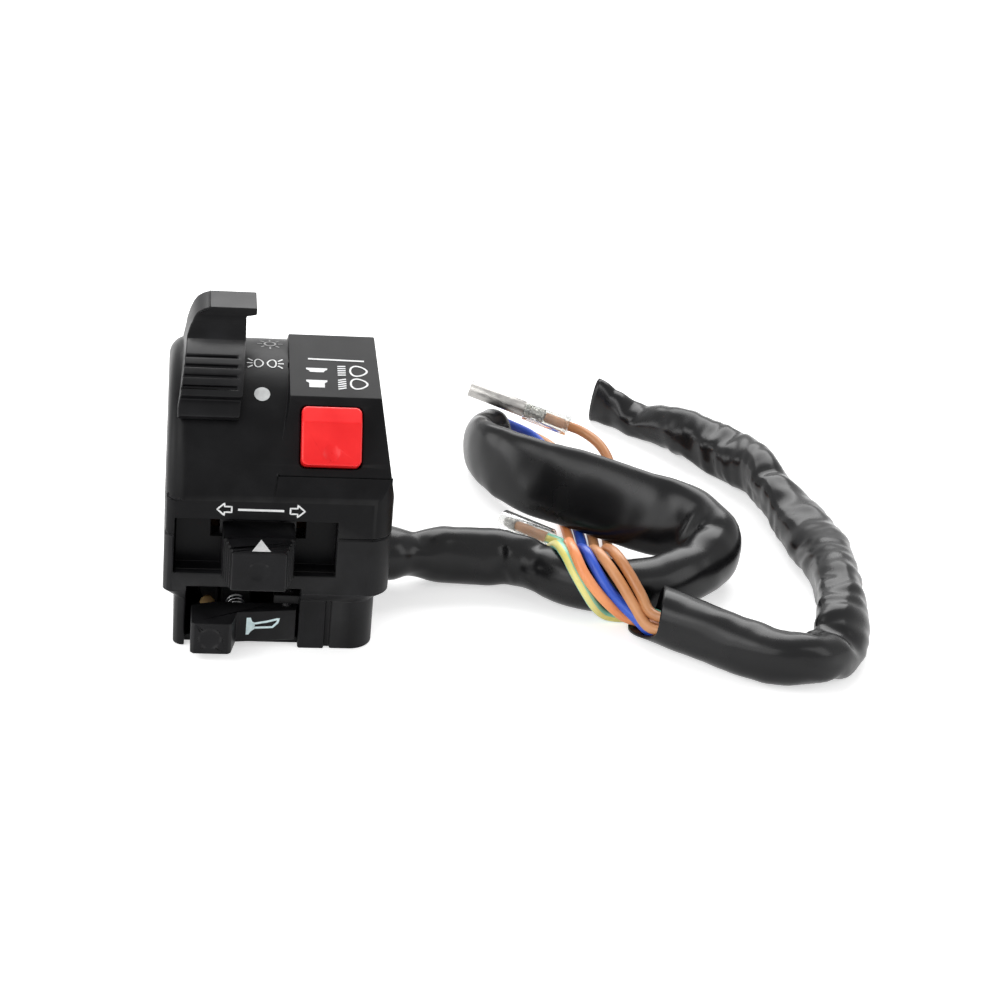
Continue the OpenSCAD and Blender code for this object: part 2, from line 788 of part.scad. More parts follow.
module dimmer_button() {
  r = 1.3;
  color([0.85, 0.1, 0.09])
    on_face()
      difference() {
        intersection() {
          translate([0, 0, cap_z])
            linear_extrude(btn_out - cap_z)
              rounded(-btn_w / 2, btn_w / 2, -btn_h / 2, btn_h / 2, [r, r, r, r]);
          // top band slopes back
          translate([-btn_w, 0, 0])
            rotate([90, 0, 90])
              linear_extrude(2 * btn_w)
                polygon([
                  [-btn_h, -6], [-btn_h, btn_out], [btn_h / 2 - 3.6, btn_out],
                  [btn_h / 2, btn_out - 2], [btn_h, btn_out - 3], [btn_h, -6]
                ]);
        }
        translate([0, 2.6 - btn_h / 2, btn_out + 4.6])
          sphere(r = 5);
      }
}

module dimmer_plunger() {
  color([0.85, 0.84, 0.8])
    on_face()
      block(-3, 3, -3, 3, bridge_z + bridge_t, cap_z);
}

module dimmer_bridge() {
  color([0.8, 0.55, 0.25])
    on_face()
      block(-2.8, 2.8, -1, 1, bridge_z, bridge_z + bridge_t);
}

module dimmer_spring() {
  color([0.7, 0.7, 0.72])
    on_face()
      translate([0, 0, frame_z])
        coil(5, 0.7, cap_z - frame_z, 4);
}

module dimmer_frame() {
  color([0.3, 0.2, 0.14])
    difference() {
      on_face()
        difference() {
          block(-btn_w / 2, btn_w / 2, 1.3 - btn_h / 2, btn_h / 2, frame_z - 10, frame_z);
          block(-3.4, 3.4, -3.4, 3.4, pocket_z, frame_z + 1);
          dimmer_studs();
        }
      bar_rod(saddle_r + seat_gap, -half_w, half_w);
    }
}

module dimmer_studs() {
  for (x = [-1.9, 1.9])
    translate([x, 0, stud_z])
      cylinder(r = 0.8, h = 1.6, $fn = 32);
}

module dimmer_contacts() {
  color([0.8, 0.55, 0.25])
    on_face()
      dimmer_studs();
}

module turn_knob() {
  w0 = knob_half;
  w1 = knob_front_w / 2;
  y0 = -tray_back - slide_gap;
  y1 = -front_d - 1.6;
  y2 = -front_d - knob_out;
  color([0.07, 0.07, 0.075])
    difference() {
      union() {
        intersection() {
          translate([knob_x, 0, knob_low])
            linear_extrude(knob_top - knob_low)
              polygon([[-w0, y0], [-w0, y1], [-w1, y2], [w1, y2], [w0, y1], [w0, y0]]);
          // front edge of the top slopes down
          along_x(-half_w, half_w)
            polygon([
              [y0, knob_low], [y0, knob_top], [y1, knob_top], [y2, knob_top - 0.8], [y2, knob_low + 0.4],
              [y2 + 1, knob_low]
            ]);
        }
        block(knob_x - stem_tw / 2, knob_x + stem_tw / 2, y0 - e, 1 - slider_front, stem_tz0, stem_tz1);
      }
      // ribbed flanks
      for (s = [-1, 1], i = [1:4])
        translate([knob_x + s * (w0 + (w1 - w0) * i / 5), y1 + (y2 - y1) * i / 5, knob_low - 1])
          cylinder(r = 0.35, h = 20, $fn = 16);
      translate([knob_x, y2 - 5.5, (knob_low + knob_top) / 2])
        sphere(r = 6);
    }
}

module turn_slider() {
  color([0.85, 0.84, 0.8])
    difference() {
      block(knob_x - slider_half, knob_x + slider_half, -slider_front, -slider_rear, -6, 4);
      block(knob_x - stem_tw / 2, knob_x + stem_tw / 2, -slider_front - 1, 1 - slider_front, stem_tz0, stem_tz1);
      translate([knob_x, turn_y, turn_pocket_z - 4])
        cylinder(r = turn_ball_r + seat_gap, h = 4, $fn = 32);
    }
}

module turn_wiper() {
  color([0.8, 0.55, 0.25])
    block(knob_x - 5, knob_x + 5, -slider_rear, -wiper_rear, -4, 2);
}

module turn_detent_ball() {
  color([0.75, 0.75, 0.77])
    translate([knob_x, turn_y, rail_z + turn_ball_r + ball_gap])
      sphere(r = turn_ball_r, $fn = 24);
}

module turn_detent_spring() {
  color([0.7, 0.7, 0.72])
    translate([knob_x, turn_y, rail_z + 2 * turn_ball_r + ball_gap])
      coil(0.6, 0.25, turn_spring, 3);
}

module turn_tray() {
  color([0.06, 0.06, 0.065])
    difference() {
      union() {
        block(tray_left, slot_right + tray_t, -front_in + 0.1, -tray_rear, -slot_down - tray_t, slot_up + tray_t);
        // rail under the slider
        block(knob_x - slider_half - turn_travel, knob_x + slider_half + turn_travel, -tray_rear - e,
          -slider_rear, rail_z - 1.4, rail_z);
      }
      block(slot_left - 1, slot_right, -front_in - 1, -tray_back, -slot_down, slot_up);
      block(knob_x - stem_tw / 2 - turn_travel - slide_gap, knob_x + stem_tw / 2 + turn_travel + slide_gap,
        -front_in, -tray_rear + 1, stem_tz0 - slide_gap, stem_tz1 + slide_gap);
      for (i = [-1:1])
        translate([knob_x + i * turn_travel, turn_y, rail_z + turn_ball_r - 0.2])
          sphere(r = turn_ball_r, $fn = 32);
    }
}

module turn_contact_plate() {
  color([0.45, 0.28, 0.16])
    difference() {
      union() {
        block(knob_x - plate_half, knob_x + plate_half, -plate_front, -plate_rear, -5, 5);
        for (s = [-1, 1])
          block(knob_x + s * (plate_half - 0.75) - 0.75, knob_x + s * (plate_half - 0.75) + 0.75,
            -tray_rear, -plate_rear, -5, 5);
      }
      turn_studs();
    }
}

module turn_studs() {
  for (i = [-1:1])
    translate([knob_x + i * turn_travel, -plate_rear + 0.2, -1])
      rotate([90, 0, 0])
        cylinder(r = 1.2, h = plate_front - plate_rear + 0.4, $fn = 32);
}

module turn_contacts() {
  color([0.8, 0.55, 0.25])
    turn_studs();
}

module horn_paddle() {
  left = horn_left + 1.2;
  front = -body_front;
  color([0.1, 0.1, 0.105])
    difference() {
      union() {
        translate([0, 0, horn_low_z])
          linear_extrude(horn_top_z - horn_low_z) {
            polygon([
              [horn_right - 0.6, front + 0.1], [-8, front - 1.5], [-9, pad_y + 0.7], [-9.7, pad_y],
              [left + 0.7, pad_y], [left, pad_y + 0.7], [left, front + 1.4], [-12, horn_back_y], [horn_right - 2.6, horn_back_y],
              [horn_right - 0.6, horn_back_y]
            ]);
            translate([pivot_x, pivot_y])
              circle(2);
          }
        block(nub_x - 1.2, nub_x + 1.2, front + 0.5, nub_y, spring_z - 1.2, spring_z + 1.2);
      }
      translate([pivot_x, pivot_y, -base_h])
        cylinder(r = pin_r + pin_clear, h = base_h);
      translate([(left - 9.6) / 2, pad_y - 5.4, (horn_low_z + horn_top_z) / 2])
        sphere(r = 6);
    }
}

module horn_pivot_pin() {
  color([0.72, 0.72, 0.74])
    translate([pivot_x, pivot_y, -base_h + 0.4])
      cylinder(r = pin_r, h = base_h + horn_top_z + 1.8);
}

module horn_spring() {
  color([0.7, 0.7, 0.72])
    translate([spring_x, horn_back_y, spring_z])
      rotate([-90, 0, 0])
        coil(2, 0.6, horn_room, 4);
}

module horn_moving_contact() {
  color([0.8, 0.55, 0.25])
    translate([nub_x, nub_y, spring_z])
      rotate([-90, 0, 0])
        cylinder(r = 1, h = 0.6, $fn = 32);
}

module horn_fixed_contact() {
  color([0.8, 0.55, 0.25])
    translate([nub_x, stop_y, spring_z])
      rotate([-90, 0, 0]) {
        cylinder(r = 1, h = wall + 0.8, $fn = 64);
        translate([0, 0, -0.5])
          cylinder(r = 1.6, h = 0.5, $fn = 32);
      }
}

module cable_grommet() {
  color([0.04, 0.04, 0.04])
    translate([body_half - wall, cable_y, cable_z])
      rotate([0, 90, 0])
        difference() {
          union() {
            cylinder(r = sleeve_d / 2 + grommet_t, h = wall);
            translate([0, 0, wall])
              intersection() {
                cylinder(r = sleeve_d / 2 + grommet_t + 0.5, h = body_in);
                block(cable_z + rim_h + slide_gap, 20, -20, 20, 0, 20);
              }
          }
          translate([0, 0, -1])
            cylinder(r = sleeve_d / 2, h = wall + body_in + 2);
        }
}

module cable_clip() {
  color([0.7, 0.7, 0.72])
    difference() {
      union() {
        translate([clip_x, cable_y, cable_z])
          rotate([0, 90, 0])
            cylinder(r = sleeve_d / 2 + 0.5, h = 3);
        block(clip_x, clip_x + 3, clip_y - 2, cable_y, floor_z, floor_z + 0.8);
      }
      translate([clip_x - 1, cable_y, cable_z])
        rotate([0, 90, 0])
          cylinder(r = sleeve_d / 2, h = 5);
      translate([clip_x + 1.5, clip_y, floor_z - 1])
        cylinder(r = 1, h = 3);
    }
}

module clip_screw() {
  color([0.72, 0.72, 0.74])
    translate([clip_x + 1.5, clip_y, floor_z - 1]) {
      cylinder(r = 1, h = 2);
      translate([0, 0, 1.8])
        cylinder(r = 1.7, h = 1);
    }
}

module inner_leads() {
  d = 1.8;
  tail = btn_p + face_u * btn_h / 2 + face_n * (frame_z - 3.95);
  rear = saddle_r + 2.4;
  color([0.15, 0.3, 0.6]) {
    cord([[sleeve_in, cable_y + 3, cable_z], [10, cable_y + 3, cable_z], [4, 11, cable_z], [2, rear, -12],
      [2, rear, 8], [light_plate_x + 5, 11.5, 12.5], [light_plate_x + 1.4, 11.5, 12.5]], d, 8);
    cord([[sleeve_in, cable_y - 3, cable_z - 2], [10, cable_y - 3, cable_z - 2], [nub_x + 3, -6, spring_z],
      [nub_x, -9, spring_z], [nub_x, stop_y + wall + 0.8, spring_z]], d, 8);
    cord([[sleeve_in, cable_y + 1, cable_z + 3], [10, cable_y + 1, cable_z + 3], [7, 11, cable_z + 3],
      [6, rear, -11], [6, rear, 6], [8, 8, 17], [btn_x, tail[0] + face_u[0] * 3, tail[1] + face_u[1] * 3],
      [btn_x, tail[0], tail[1]]], d, 8);
  }
}

module sleeve_near() {
  color([0.03, 0.03, 0.03])
    cord(near_pts, sleeve_d, 12);
}

module sleeve_far() {
  color([0.03, 0.03, 0.03])
    cord(far_pts, sleeve_d, 12);
}

module wire_tan() {
  color([0.66, 0.5, 0.33])
    cord(tan_pts, wire_d, 8);
}

module wire_orange() {
  color([0.85, 0.42, 0.25])
    cord(orange_pts, wire_d, 8);
}

module wire_green() {
  color([0.55, 0.78, 0.65])
    cord(green_pts, wire_d, 8);
}

module wire_blue() {
  color([0.2, 0.35, 0.65])
    cord(blue_pts, wire_d, 8);
}

module wire_brown() {
  color([0.42, 0.26, 0.16])
    cord(brown_pts, wire_d, 8);
}

// Places what follows at the end of a wire, with z along its terminal
module at_plug(p) {
  v = p[1];
  translate(p[0] + v * end_gap)
    rotate([0, acos(v[2] / norm(v)), atan2(v[1], v[0])])
      children();
}

module bullet_terminals() {
  color([0.75, 0.74, 0.7])
    for (p = plugs)
      at_plug(p) {
        cylinder(r = plug_r - 0.5, h = p[2] - 2, $fn = 32);
        translate([0, 0, p[2] - 2])
          cylinder(r1 = plug_r - 0.5, r2 = plug_r - 1.2, h = 2, $fn = 32);
      }
}

module terminal_sleeves() {
  color([0.85, 0.87, 0.86])
    for (p = plugs)
      at_plug(p)
        difference() {
          cylinder(r = plug_r, h = p[2] - 3, $fn = 32);
          translate([0, 0, -1])
            cylinder(r = plug_r - 0.5, h = p[2], $fn = 32);
        }
}

// Least gap between the turns of the springs
turn_gaps = [
  (light_spring - 0.4) / 5 - 0.4, (cap_z - frame_z - 0.7) / 4 - 0.7, (turn_spring - 0.25) / 3 - 0.25,
  (horn_room - 0.6) / 4 - 0.6
];
echo(least_spring_gap = min(turn_gaps));

upper_casing();
lower_casing();
casing_screws();
light_lever();
light_carrier();
light_wiper();
light_contact_plate();
light_contacts();
light_detent_ball();
light_detent_spring();
dimmer_button();
dimmer_plunger();
dimmer_bridge();
dimmer_spring();
dimmer_frame();
dimmer_contacts();
turn_knob();
turn_slider();
turn_wiper();
turn_detent_ball();
turn_detent_spring();
turn_tray();
turn_contact_plate();
turn_contacts();
horn_paddle();
horn_pivot_pin();
horn_spring();
horn_moving_contact();
horn_fixed_contact();
cable_grommet();
cable_clip();
clip_screw();
inner_leads();
sleeve_near();
sleeve_far();
wire_tan();
wire_orange();
wire_green();
wire_blue();
wire_brown();
bullet_terminals();
terminal_sleeves();
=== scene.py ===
"""Dressed model of a left-hand handlebar switch cluster with its loom.

Sizes and places are in millimetres, apart from the floor's and the lamps', which are in metres.
"""
import json
import math

import bmesh
import bpy
from mathutils import Euler, Matrix, Vector, noise
from mathutils.bvhtree import BVHTree


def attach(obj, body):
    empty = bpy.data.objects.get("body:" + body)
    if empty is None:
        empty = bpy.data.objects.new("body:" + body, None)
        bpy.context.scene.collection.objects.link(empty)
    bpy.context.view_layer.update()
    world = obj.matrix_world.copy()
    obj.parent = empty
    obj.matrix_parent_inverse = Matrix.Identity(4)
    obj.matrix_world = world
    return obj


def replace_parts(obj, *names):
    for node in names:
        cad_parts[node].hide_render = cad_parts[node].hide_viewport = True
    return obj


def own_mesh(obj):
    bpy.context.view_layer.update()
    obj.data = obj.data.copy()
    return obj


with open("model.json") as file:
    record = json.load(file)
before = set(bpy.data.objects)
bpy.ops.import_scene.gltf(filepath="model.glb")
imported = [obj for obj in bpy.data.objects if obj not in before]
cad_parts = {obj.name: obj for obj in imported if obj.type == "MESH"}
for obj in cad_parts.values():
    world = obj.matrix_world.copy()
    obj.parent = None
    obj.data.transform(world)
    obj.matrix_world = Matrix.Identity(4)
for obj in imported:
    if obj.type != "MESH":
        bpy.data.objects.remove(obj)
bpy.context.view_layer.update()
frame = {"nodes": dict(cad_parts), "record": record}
scene = bpy.context.scene
scene.view_settings.view_transform = "Standard"

MM = 0.001
UP = Vector((0, 0, 1))
FLOOR_Z = -28.5
BODY_OF = {
    node: body
    for body, nodes in frame["record"]["behaviour"]["bodies"].items()
    for node in nodes
}
SLOT_OF = {part["node"]: part["material_slot"] for part in frame["record"]["subparts"]}

CAMERA_LENS = 99.36
CAMERA_SPOT = (-26.115, -533.966, 272.394)
CAMERA_TURN = (62.723349, -4.870701, -5.533752)


def place_camera():
    data = bpy.data.cameras.new("camera")
    data.lens = CAMERA_LENS
    data.sensor_width = 36
    data.sensor_fit = "HORIZONTAL"
    data.clip_start = 0.01
    camera = bpy.data.objects.new("camera", data)
    scene.collection.objects.link(camera)
    turn = Euler([math.radians(angle) for angle in CAMERA_TURN])
    camera.matrix_world = Matrix.LocRotScale(Vector(CAMERA_SPOT) * MM, turn, None)
    scene.camera = camera


place_camera()


# Materials

PATCH_SPAN = (0.36, 0.68)
EDGE_SPAN = (0.52, 0.62)
GLOSS_SPAN = (0.3, 0.7)
EDGE_WEAR = 0.5


def noise_value(tree, place, scale, detail):
    node = tree.nodes.new("ShaderNodeTexNoise")
    node.inputs["Scale"].default_value = scale
    node.inputs["Detail"].default_value = detail
    tree.links.new(place, node.inputs["Vector"])
    return node.outputs["Fac"]


def mapped(tree, value, span, target):
    """The value, with the span stretched to the target and cut off at its ends."""
    node = tree.nodes.new("ShaderNodeMapRange")
    for name, number in zip(("From Min", "From Max", "To Min", "To Max"), (*span, *target)):
        node.inputs[name].default_value = number
    tree.links.new(value, node.inputs["Value"])
    return node.outputs["Result"]


def combined(tree, operation, a, b):
    node = tree.nodes.new("ShaderNodeMath")
    node.operation = operation
    tree.links.new(a, node.inputs[0])
    tree.links.new(b, node.inputs[1])
    return node.outputs["Value"]


def surface(
    name, base, tint, rough, mottle=150.0, grain=2600.0, bump=0.25, depth=0.03, wear=None, streak=None,
    **sockets
):
    """A procedural finish: two tones in patches, an uneven gloss, a fine grain and rubbed edges."""
    mat = bpy.data.materials.new(name)
    mat.use_nodes = True
    tree = mat.node_tree
    new, link = tree.nodes.new, tree.links.new
    shader = tree.nodes["Principled BSDF"]
    place = new("ShaderNodeTexCoord").outputs["Object"]

    patches = noise_value(tree, place, mottle, 5.0)
    ramp = new("ShaderNodeValToRGB")
    for stop, position, tone in zip(ramp.color_ramp.elements, PATCH_SPAN, (base, tint)):
        stop.position = position
        stop.color = (*tone, 1)
    link(patches, ramp.inputs["Fac"])
    colour = ramp.outputs["Color"]

    if wear:
        edges = new("ShaderNodeNewGeometry").outputs["Pointiness"]
        rubbed = mapped(tree, edges, EDGE_SPAN, (0.0, EDGE_WEAR))
        mix = new("ShaderNodeMix")
        mix.data_type = "RGBA"
        mix.inputs["B"].default_value = (*wear, 1)
        link(combined(tree, "MULTIPLY", rubbed, patches), mix.inputs["Factor"])
        link(colour, mix.inputs["A"])
        colour = mix.outputs["Result"]
    link(colour, shader.inputs["Base Color"])
    link(mapped(tree, patches, GLOSS_SPAN, rough), shader.inputs["Roughness"])

    if streak:
        stretch = new("ShaderNodeMapping")
        stretch.inputs["Scale"].default_value = streak
        link(place, stretch.inputs["Vector"])
        place = stretch.outputs["Vector"]
    relief = new("ShaderNodeBump")
    relief.inputs["Strength"].default_value = bump
    relief.inputs["Distance"].default_value = depth * MM
    link(noise_value(tree, place, grain, 3.0), relief.inputs["Height"])
    link(relief.outputs["Normal"], shader.inputs["Normal"])
    for socket, value in sockets.items():
        shader.inputs[socket.replace("_", " ")].default_value = value
    return mat


LOOKS = {
    "casing_black": dict(
        base=(0.003, 0.003, 0.0034), tint=(0.006, 0.006, 0.0066), rough=(0.32, 0.44),
        wear=(0.04, 0.04, 0.04), Specular_IOR_Level=0.1),
    "casing_grey_black": dict(
        base=(0.006, 0.006, 0.0065), tint=(0.011, 0.011, 0.012), rough=(0.36, 0.48),
        wear=(0.05, 0.05, 0.05), Specular_IOR_Level=0.13),
    "lever_black": dict(
        base=(0.004, 0.004, 0.0045), tint=(0.008, 0.008, 0.009), rough=(0.3, 0.42),
        wear=(0.05, 0.05, 0.05), Specular_IOR_Level=0.13),
    "button_red": dict(
        base=(0.8, 0.009, 0.011), tint=(0.87, 0.016, 0.017), rough=(0.3, 0.42),
        wear=(0.9, 0.08, 0.07), grain=1800, bump=0.15, Specular_IOR_Level=0.35),
    "nylon": dict(
        base=(0.02, 0.02, 0.021), tint=(0.035, 0.035, 0.036), rough=(0.4, 0.52), Specular_IOR_Level=0.3),
    "phenolic": dict(base=(0.15, 0.07, 0.03), tint=(0.24, 0.12, 0.06), rough=(0.42, 0.6), mottle=600),
    "contact_brass": dict(
        base=(0.72, 0.46, 0.19), tint=(0.8, 0.55, 0.26), rough=(0.24, 0.4), Metallic=1.0),
    "steel": dict(
        base=(0.56, 0.56, 0.57), tint=(0.68, 0.68, 0.69), rough=(0.24, 0.38), streak=(1, 12, 1),
        Metallic=1.0),
    "grommet_rubber": dict(
        base=(0.012, 0.012, 0.012), tint=(0.02, 0.02, 0.02), rough=(0.5, 0.66), bump=0.4),
    "sleeve_pvc": dict(
        base=(0.004, 0.004, 0.0045), tint=(0.007, 0.007, 0.0076), rough=(0.22, 0.3), mottle=70,
        grain=700, bump=0.1, depth=0.05, wear=(0.03, 0.03, 0.03), Specular_IOR_Level=0.24),
    "wire_tan": dict(base=(0.56, 0.24, 0.09), tint=(0.64, 0.3, 0.13), rough=(0.32, 0.44)),
    "wire_orange": dict(base=(0.84, 0.27, 0.09), tint=(0.9, 0.35, 0.14), rough=(0.3, 0.42)),
    "wire_green": dict(base=(0.25, 0.68, 0.5), tint=(0.35, 0.76, 0.58), rough=(0.3, 0.42)),
    "wire_yellow": dict(base=(0.8, 0.72, 0.2), tint=(0.86, 0.8, 0.3), rough=(0.3, 0.42)),
    "wire_blue": dict(base=(0.015, 0.07, 0.5), tint=(0.03, 0.11, 0.6), rough=(0.3, 0.42)),
    "wire_brown": dict(base=(0.47, 0.19, 0.07), tint=(0.55, 0.25, 0.1), rough=(0.32, 0.44)),
    "terminal_tin": dict(
        base=(0.32, 0.31, 0.3), tint=(0.42, 0.41, 0.39), rough=(0.32, 0.5), mottle=500, Metallic=1.0),
    "terminal_clear": dict(
        base=(0.82, 0.84, 0.82), tint=(0.9, 0.9, 0.88), rough=(0.08, 0.2), bump=0.1,
        Transmission_Weight=0.92, IOR=1.2),
    "print_white": dict(base=(0.68, 0.69, 0.69), tint=(0.8, 0.81, 0.81), rough=(0.5, 0.62), mottle=900),
    "print_grey": dict(base=(0.48, 0.49, 0.49), tint=(0.58, 0.59, 0.59), rough=(0.5, 0.62), mottle=900),
    "print_worn": dict(base=(0.2, 0.2, 0.2), tint=(0.34, 0.34, 0.34), rough=(0.5, 0.62), mottle=900),
    "print_cyan": dict(base=(0.6, 0.76, 0.78), tint=(0.72, 0.86, 0.87), rough=(0.5, 0.62), mottle=900),
}
FINISH = {name: surface(name, **look) for name, look in LOOKS.items()}


# Builders

CURVE_STEPS = 32
END_ROUND = 0.25
END_TAPER = 0.6


def add_mesh(name, verts, faces, finish, body, smooth=True):
    """A new piece from points in millimetres, that rides on a body."""
    mesh = bpy.data.meshes.new(name)
    mesh.from_pydata([Vector(v) * MM for v in verts], [], faces)
    mesh.validate()
    mesh.materials.append(FINISH[finish])
    mesh.polygons.foreach_set("use_smooth", [smooth] * len(mesh.polygons))
    mesh.update()
    piece = bpy.data.objects.new(name, mesh)
    scene.collection.objects.link(piece)
    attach(piece, body)
    return piece


def surface_tree(mesh):
    points = [v.co.copy() for v in mesh.vertices]
    return BVHTree.FromPolygons(points, [tuple(f.vertices) for f in mesh.polygons])


def curve_through(points):
    """Close points on a smooth curve through the given ones, and the place of each on the list."""
    pts = [points[0] * 2 - points[1]] + points + [points[-1] * 2 - points[-2]]
    fine, at = [], []
    for i in range(1, len(pts) - 2):
        p = pts[i - 1:i + 3]
        t = [0.0]
        for a, b in zip(p, p[1:]):
            t.append(t[-1] + max((b - a).length, 1e-6) ** 0.5)
        for k in range(CURVE_STEPS):
            u = t[1] + (t[2] - t[1]) * k / CURVE_STEPS
            first = [p[j].lerp(p[j + 1], (u - t[j]) / (t[j + 1] - t[j])) for j in range(3)]
            second = [first[j].lerp(first[j + 1], (u - t[j]) / (t[j + 2] - t[j])) for j in range(2)]
            fine.append(second[0].lerp(second[1], (u - t[1]) / (t[2] - t[1])))
            at.append(i - 1 + k / CURVE_STEPS)
    return fine + [points[-1]], at + [len(points) - 1.0]


def smooth_line(points, step):
    """Even points on a smooth line through the given ones, and the place of each on the list."""
    fine, at = curve_through([Vector(p) for p in points])
    reach = [0.0]
    for a, b in zip(fine, fine[1:]):
        reach.append(reach[-1] + (b - a).length)
    count = max(4, round(reach[-1] / step))
    line, where, j = [], [], 0
    for i in range(count + 1):
        s = reach[-1] * i / count
        while j < len(reach) - 2 and reach[j + 1] < s:
            j += 1
        f = (s - reach[j]) / max(reach[j + 1] - reach[j], 1e-9)
        line.append(fine[j].lerp(fine[j + 1], f))
        where.append(at[j] + (at[j + 1] - at[j]) * f)
    return line, where


def key_at(keys, x):
    """Values between the keys round x, eased."""
    if x <= keys[0][0]:
        return keys[0][1:]
    for a, b in zip(keys, keys[1:]):
        if x <= b[0]:
            f = (x - a[0]) / (b[0] - a[0])
            f = f * f * (3 - 2 * f)
            return [p + (q - p) * f for p, q in zip(a[1:], b[1:])]
    return keys[-1][1:]


def directions(line):
    ahead = []
    for i in range(len(line)):
        a, b = line[max(i - 1, 0)], line[min(i + 1, len(line) - 1)]
        ahead.append((b - a).normalized())
    return ahead


def circle(centre, x, y, radius, sides):
    """Points of a circle in the plane of two directions."""
    angles = [2 * math.pi * k / sides for k in range(sides)]
    return [centre + (x * math.cos(a) + y * math.sin(a)) * radius for a in angles]


def ring_faces(rings, sides, flip=False, capped=True):
    """Faces between each ring of points and the next, with a cap on both ends."""
    faces = []
    for i in range(rings - 1):
        a, b = i * sides, (i + 1) * sides
        for k in range(sides):
            q = (k + 1) % sides
            faces.append((a + k, b + k, b + q, a + q) if flip else (a + k, a + q, b + q, b + k))
    if capped:
        first = tuple(range(sides))
        last = tuple(range((rings - 1) * sides, rings * sides))
        faces += [first, last[::-1]] if flip else [first[::-1], last]
    return faces


def tube(name, line, radius, finish, body, sides=14, stripe=None):
    """A round tube along a line, with rounded ends. A stripe takes some of its sides."""
    ahead = directions(line)
    across = ahead[0].cross(UP)
    if across.length < 0.1:
        across = Vector((1, 0, 0))
    rings = [(line[0] - ahead[0] * radius * END_ROUND, END_TAPER, ahead[0])]
    rings += [(p, 1.0, t) for p, t in zip(line, ahead)]
    rings += [(line[-1] + ahead[-1] * radius * END_ROUND, END_TAPER, ahead[-1])]
    verts = []
    for p, scale, t in rings:
        across = (across - t * across.dot(t)).normalized()
        verts += circle(p, across, across.cross(t), radius * scale, sides)
    piece = add_mesh(name, verts, ring_faces(len(rings), sides), finish, body)
    if stripe:
        stripe_finish, stripe_sides = stripe
        piece.data.materials.append(FINISH[stripe_finish])
        for i in range(len(rings) - 1):
            for k in stripe_sides:
                piece.data.polygons[i * sides + k].material_index = 1
    return piece


def lathe(name, start, along, profile, finish, body, sides=28):
    """A turned piece: profile of (radius, distance) pairs from start. A closed profile has no caps."""
    along = Vector(along).normalized()
    side = along.cross(UP).normalized()
    up = side.cross(along)
    verts = []
    for r, z in profile:
        verts += circle(Vector(start) + along * z, side, up, r, sides)
    faces = ring_faces(len(profile), sides, capped=profile[0] != profile[-1])
    return add_mesh(name, verts, faces, finish, body)


# Sleeves of the loom

REST_Z = -22.5
SLEEVE_STEP = 0.9
SLEEVE_SIDES = 44
SLEEVE_WALL = 0.75
RIM_INSETS = (0.35, 0.7)
MOUTH_DEPTH = 13
MOUTH_DRAWN = 9
SQUARENESS = 0.9
FLOOR_GAP = 0.03
FOLD_DEPTH = 1.9
FOLD_TWIST = 0.075
FOLD_SPREAD = 1.2
FOLD_PITCH = 0.055
FOLD_SEED = Vector((3.7, 1.9, 8.3))
DENT_PITCH = 0.3
DENT_DRIFT = 0.1
DENT_SPREAD = 1.1
BEND_REACH = 4
BEND_TIGHT = 26
RIPPLE_DEPTH = 0.1
RIPPLE_PITCH = 0.62
RIPPLE_STRAY = 2.5
RIPPLE_DRIFT = 0.1
RIPPLE_SEED = 4.2
RIPPLE_FADE = 0.7

NEAR = [
    (13, 3, -20), (24, 3, -20), (40, 6, REST_Z + 0.4), (53, 6, REST_Z), (61, 2, REST_Z),
    (68, -3, REST_Z), (77, -5, REST_Z), (87, -3, REST_Z), (96, 3, REST_Z), (101, 11, REST_Z + 1),
    (96, 18, REST_Z + 2.4), (85, 23, REST_Z + 3), (74, 31, REST_Z + 3), (64, 38, REST_Z + 3),
    (56, 47, REST_Z + 2.4), (52, 56, REST_Z + 1.3), (52, 63.5, REST_Z + 0.5), (56, 70.5, REST_Z),
]
FAR = [
    (x, y, REST_Z) for x, y in [
        (84, 92), (93, 86), (108, 71), (116, 59), (121, 46), (125, 30), (127, 14), (127, 0),
        (126, -13), (123, -25), (117, -33), (109, -35), (100, -30), (92, -24), (84, -18)]
]

# Place on the route, half size upright and sideways, lean in degrees, lift, depth of the creases
NEAR_FORM = [
    (0, 5.9, 5.9, 0, 0, 0), (1.15, 5.9, 5.9, 0, 0, 0), (1.45, 5.1, 4.5, 10, 0.1, 0.25),
    (1.9, 6.7, 4.9, 0, 0.4, 0.1), (2.6, 6.5, 5.2, -6, 0.3, 0.1), (3.2, 6.6, 4.8, 22, 0.4, 0.2),
    (3.8, 5.3, 5.5, 5, 0, 0.3), (4.6, 5.9, 5.9, 0, 0, 0.05), (6.6, 5.9, 5.9, 0, 0, 0.05),
    (7.6, 6.6, 5.7, 0, 0.6, 0.15), (8.6, 7.3, 6.1, 4, 1.2, 0.2), (9.3, 8.1, 6.0, 10, 1.4, 0.2),
    (10, 8.8, 4.9, 20, 1.4, 0.12), (10.6, 9.2, 3.8, 26, 1.5, 0.08), (11.1, 9.2, 3.0, 27, 1.7, 0.05),
    (12.2, 9.2, 2.9, 27, 1.7, 0.05), (13, 9.0, 3.0, 22, 1.2, 0.06), (14, 8.6, 3.1, 10, 1.0, 0.08),
    (14.6, 8.2, 3.3, 2, 1.0, 0.08), (15.2, 7.7, 3.5, 0, 0.8, 0.06), (16, 6.9, 4.0, 0, 0.5, 0.04),
    (17, 6.2, 4.8, 0, 0.1, 0),
]
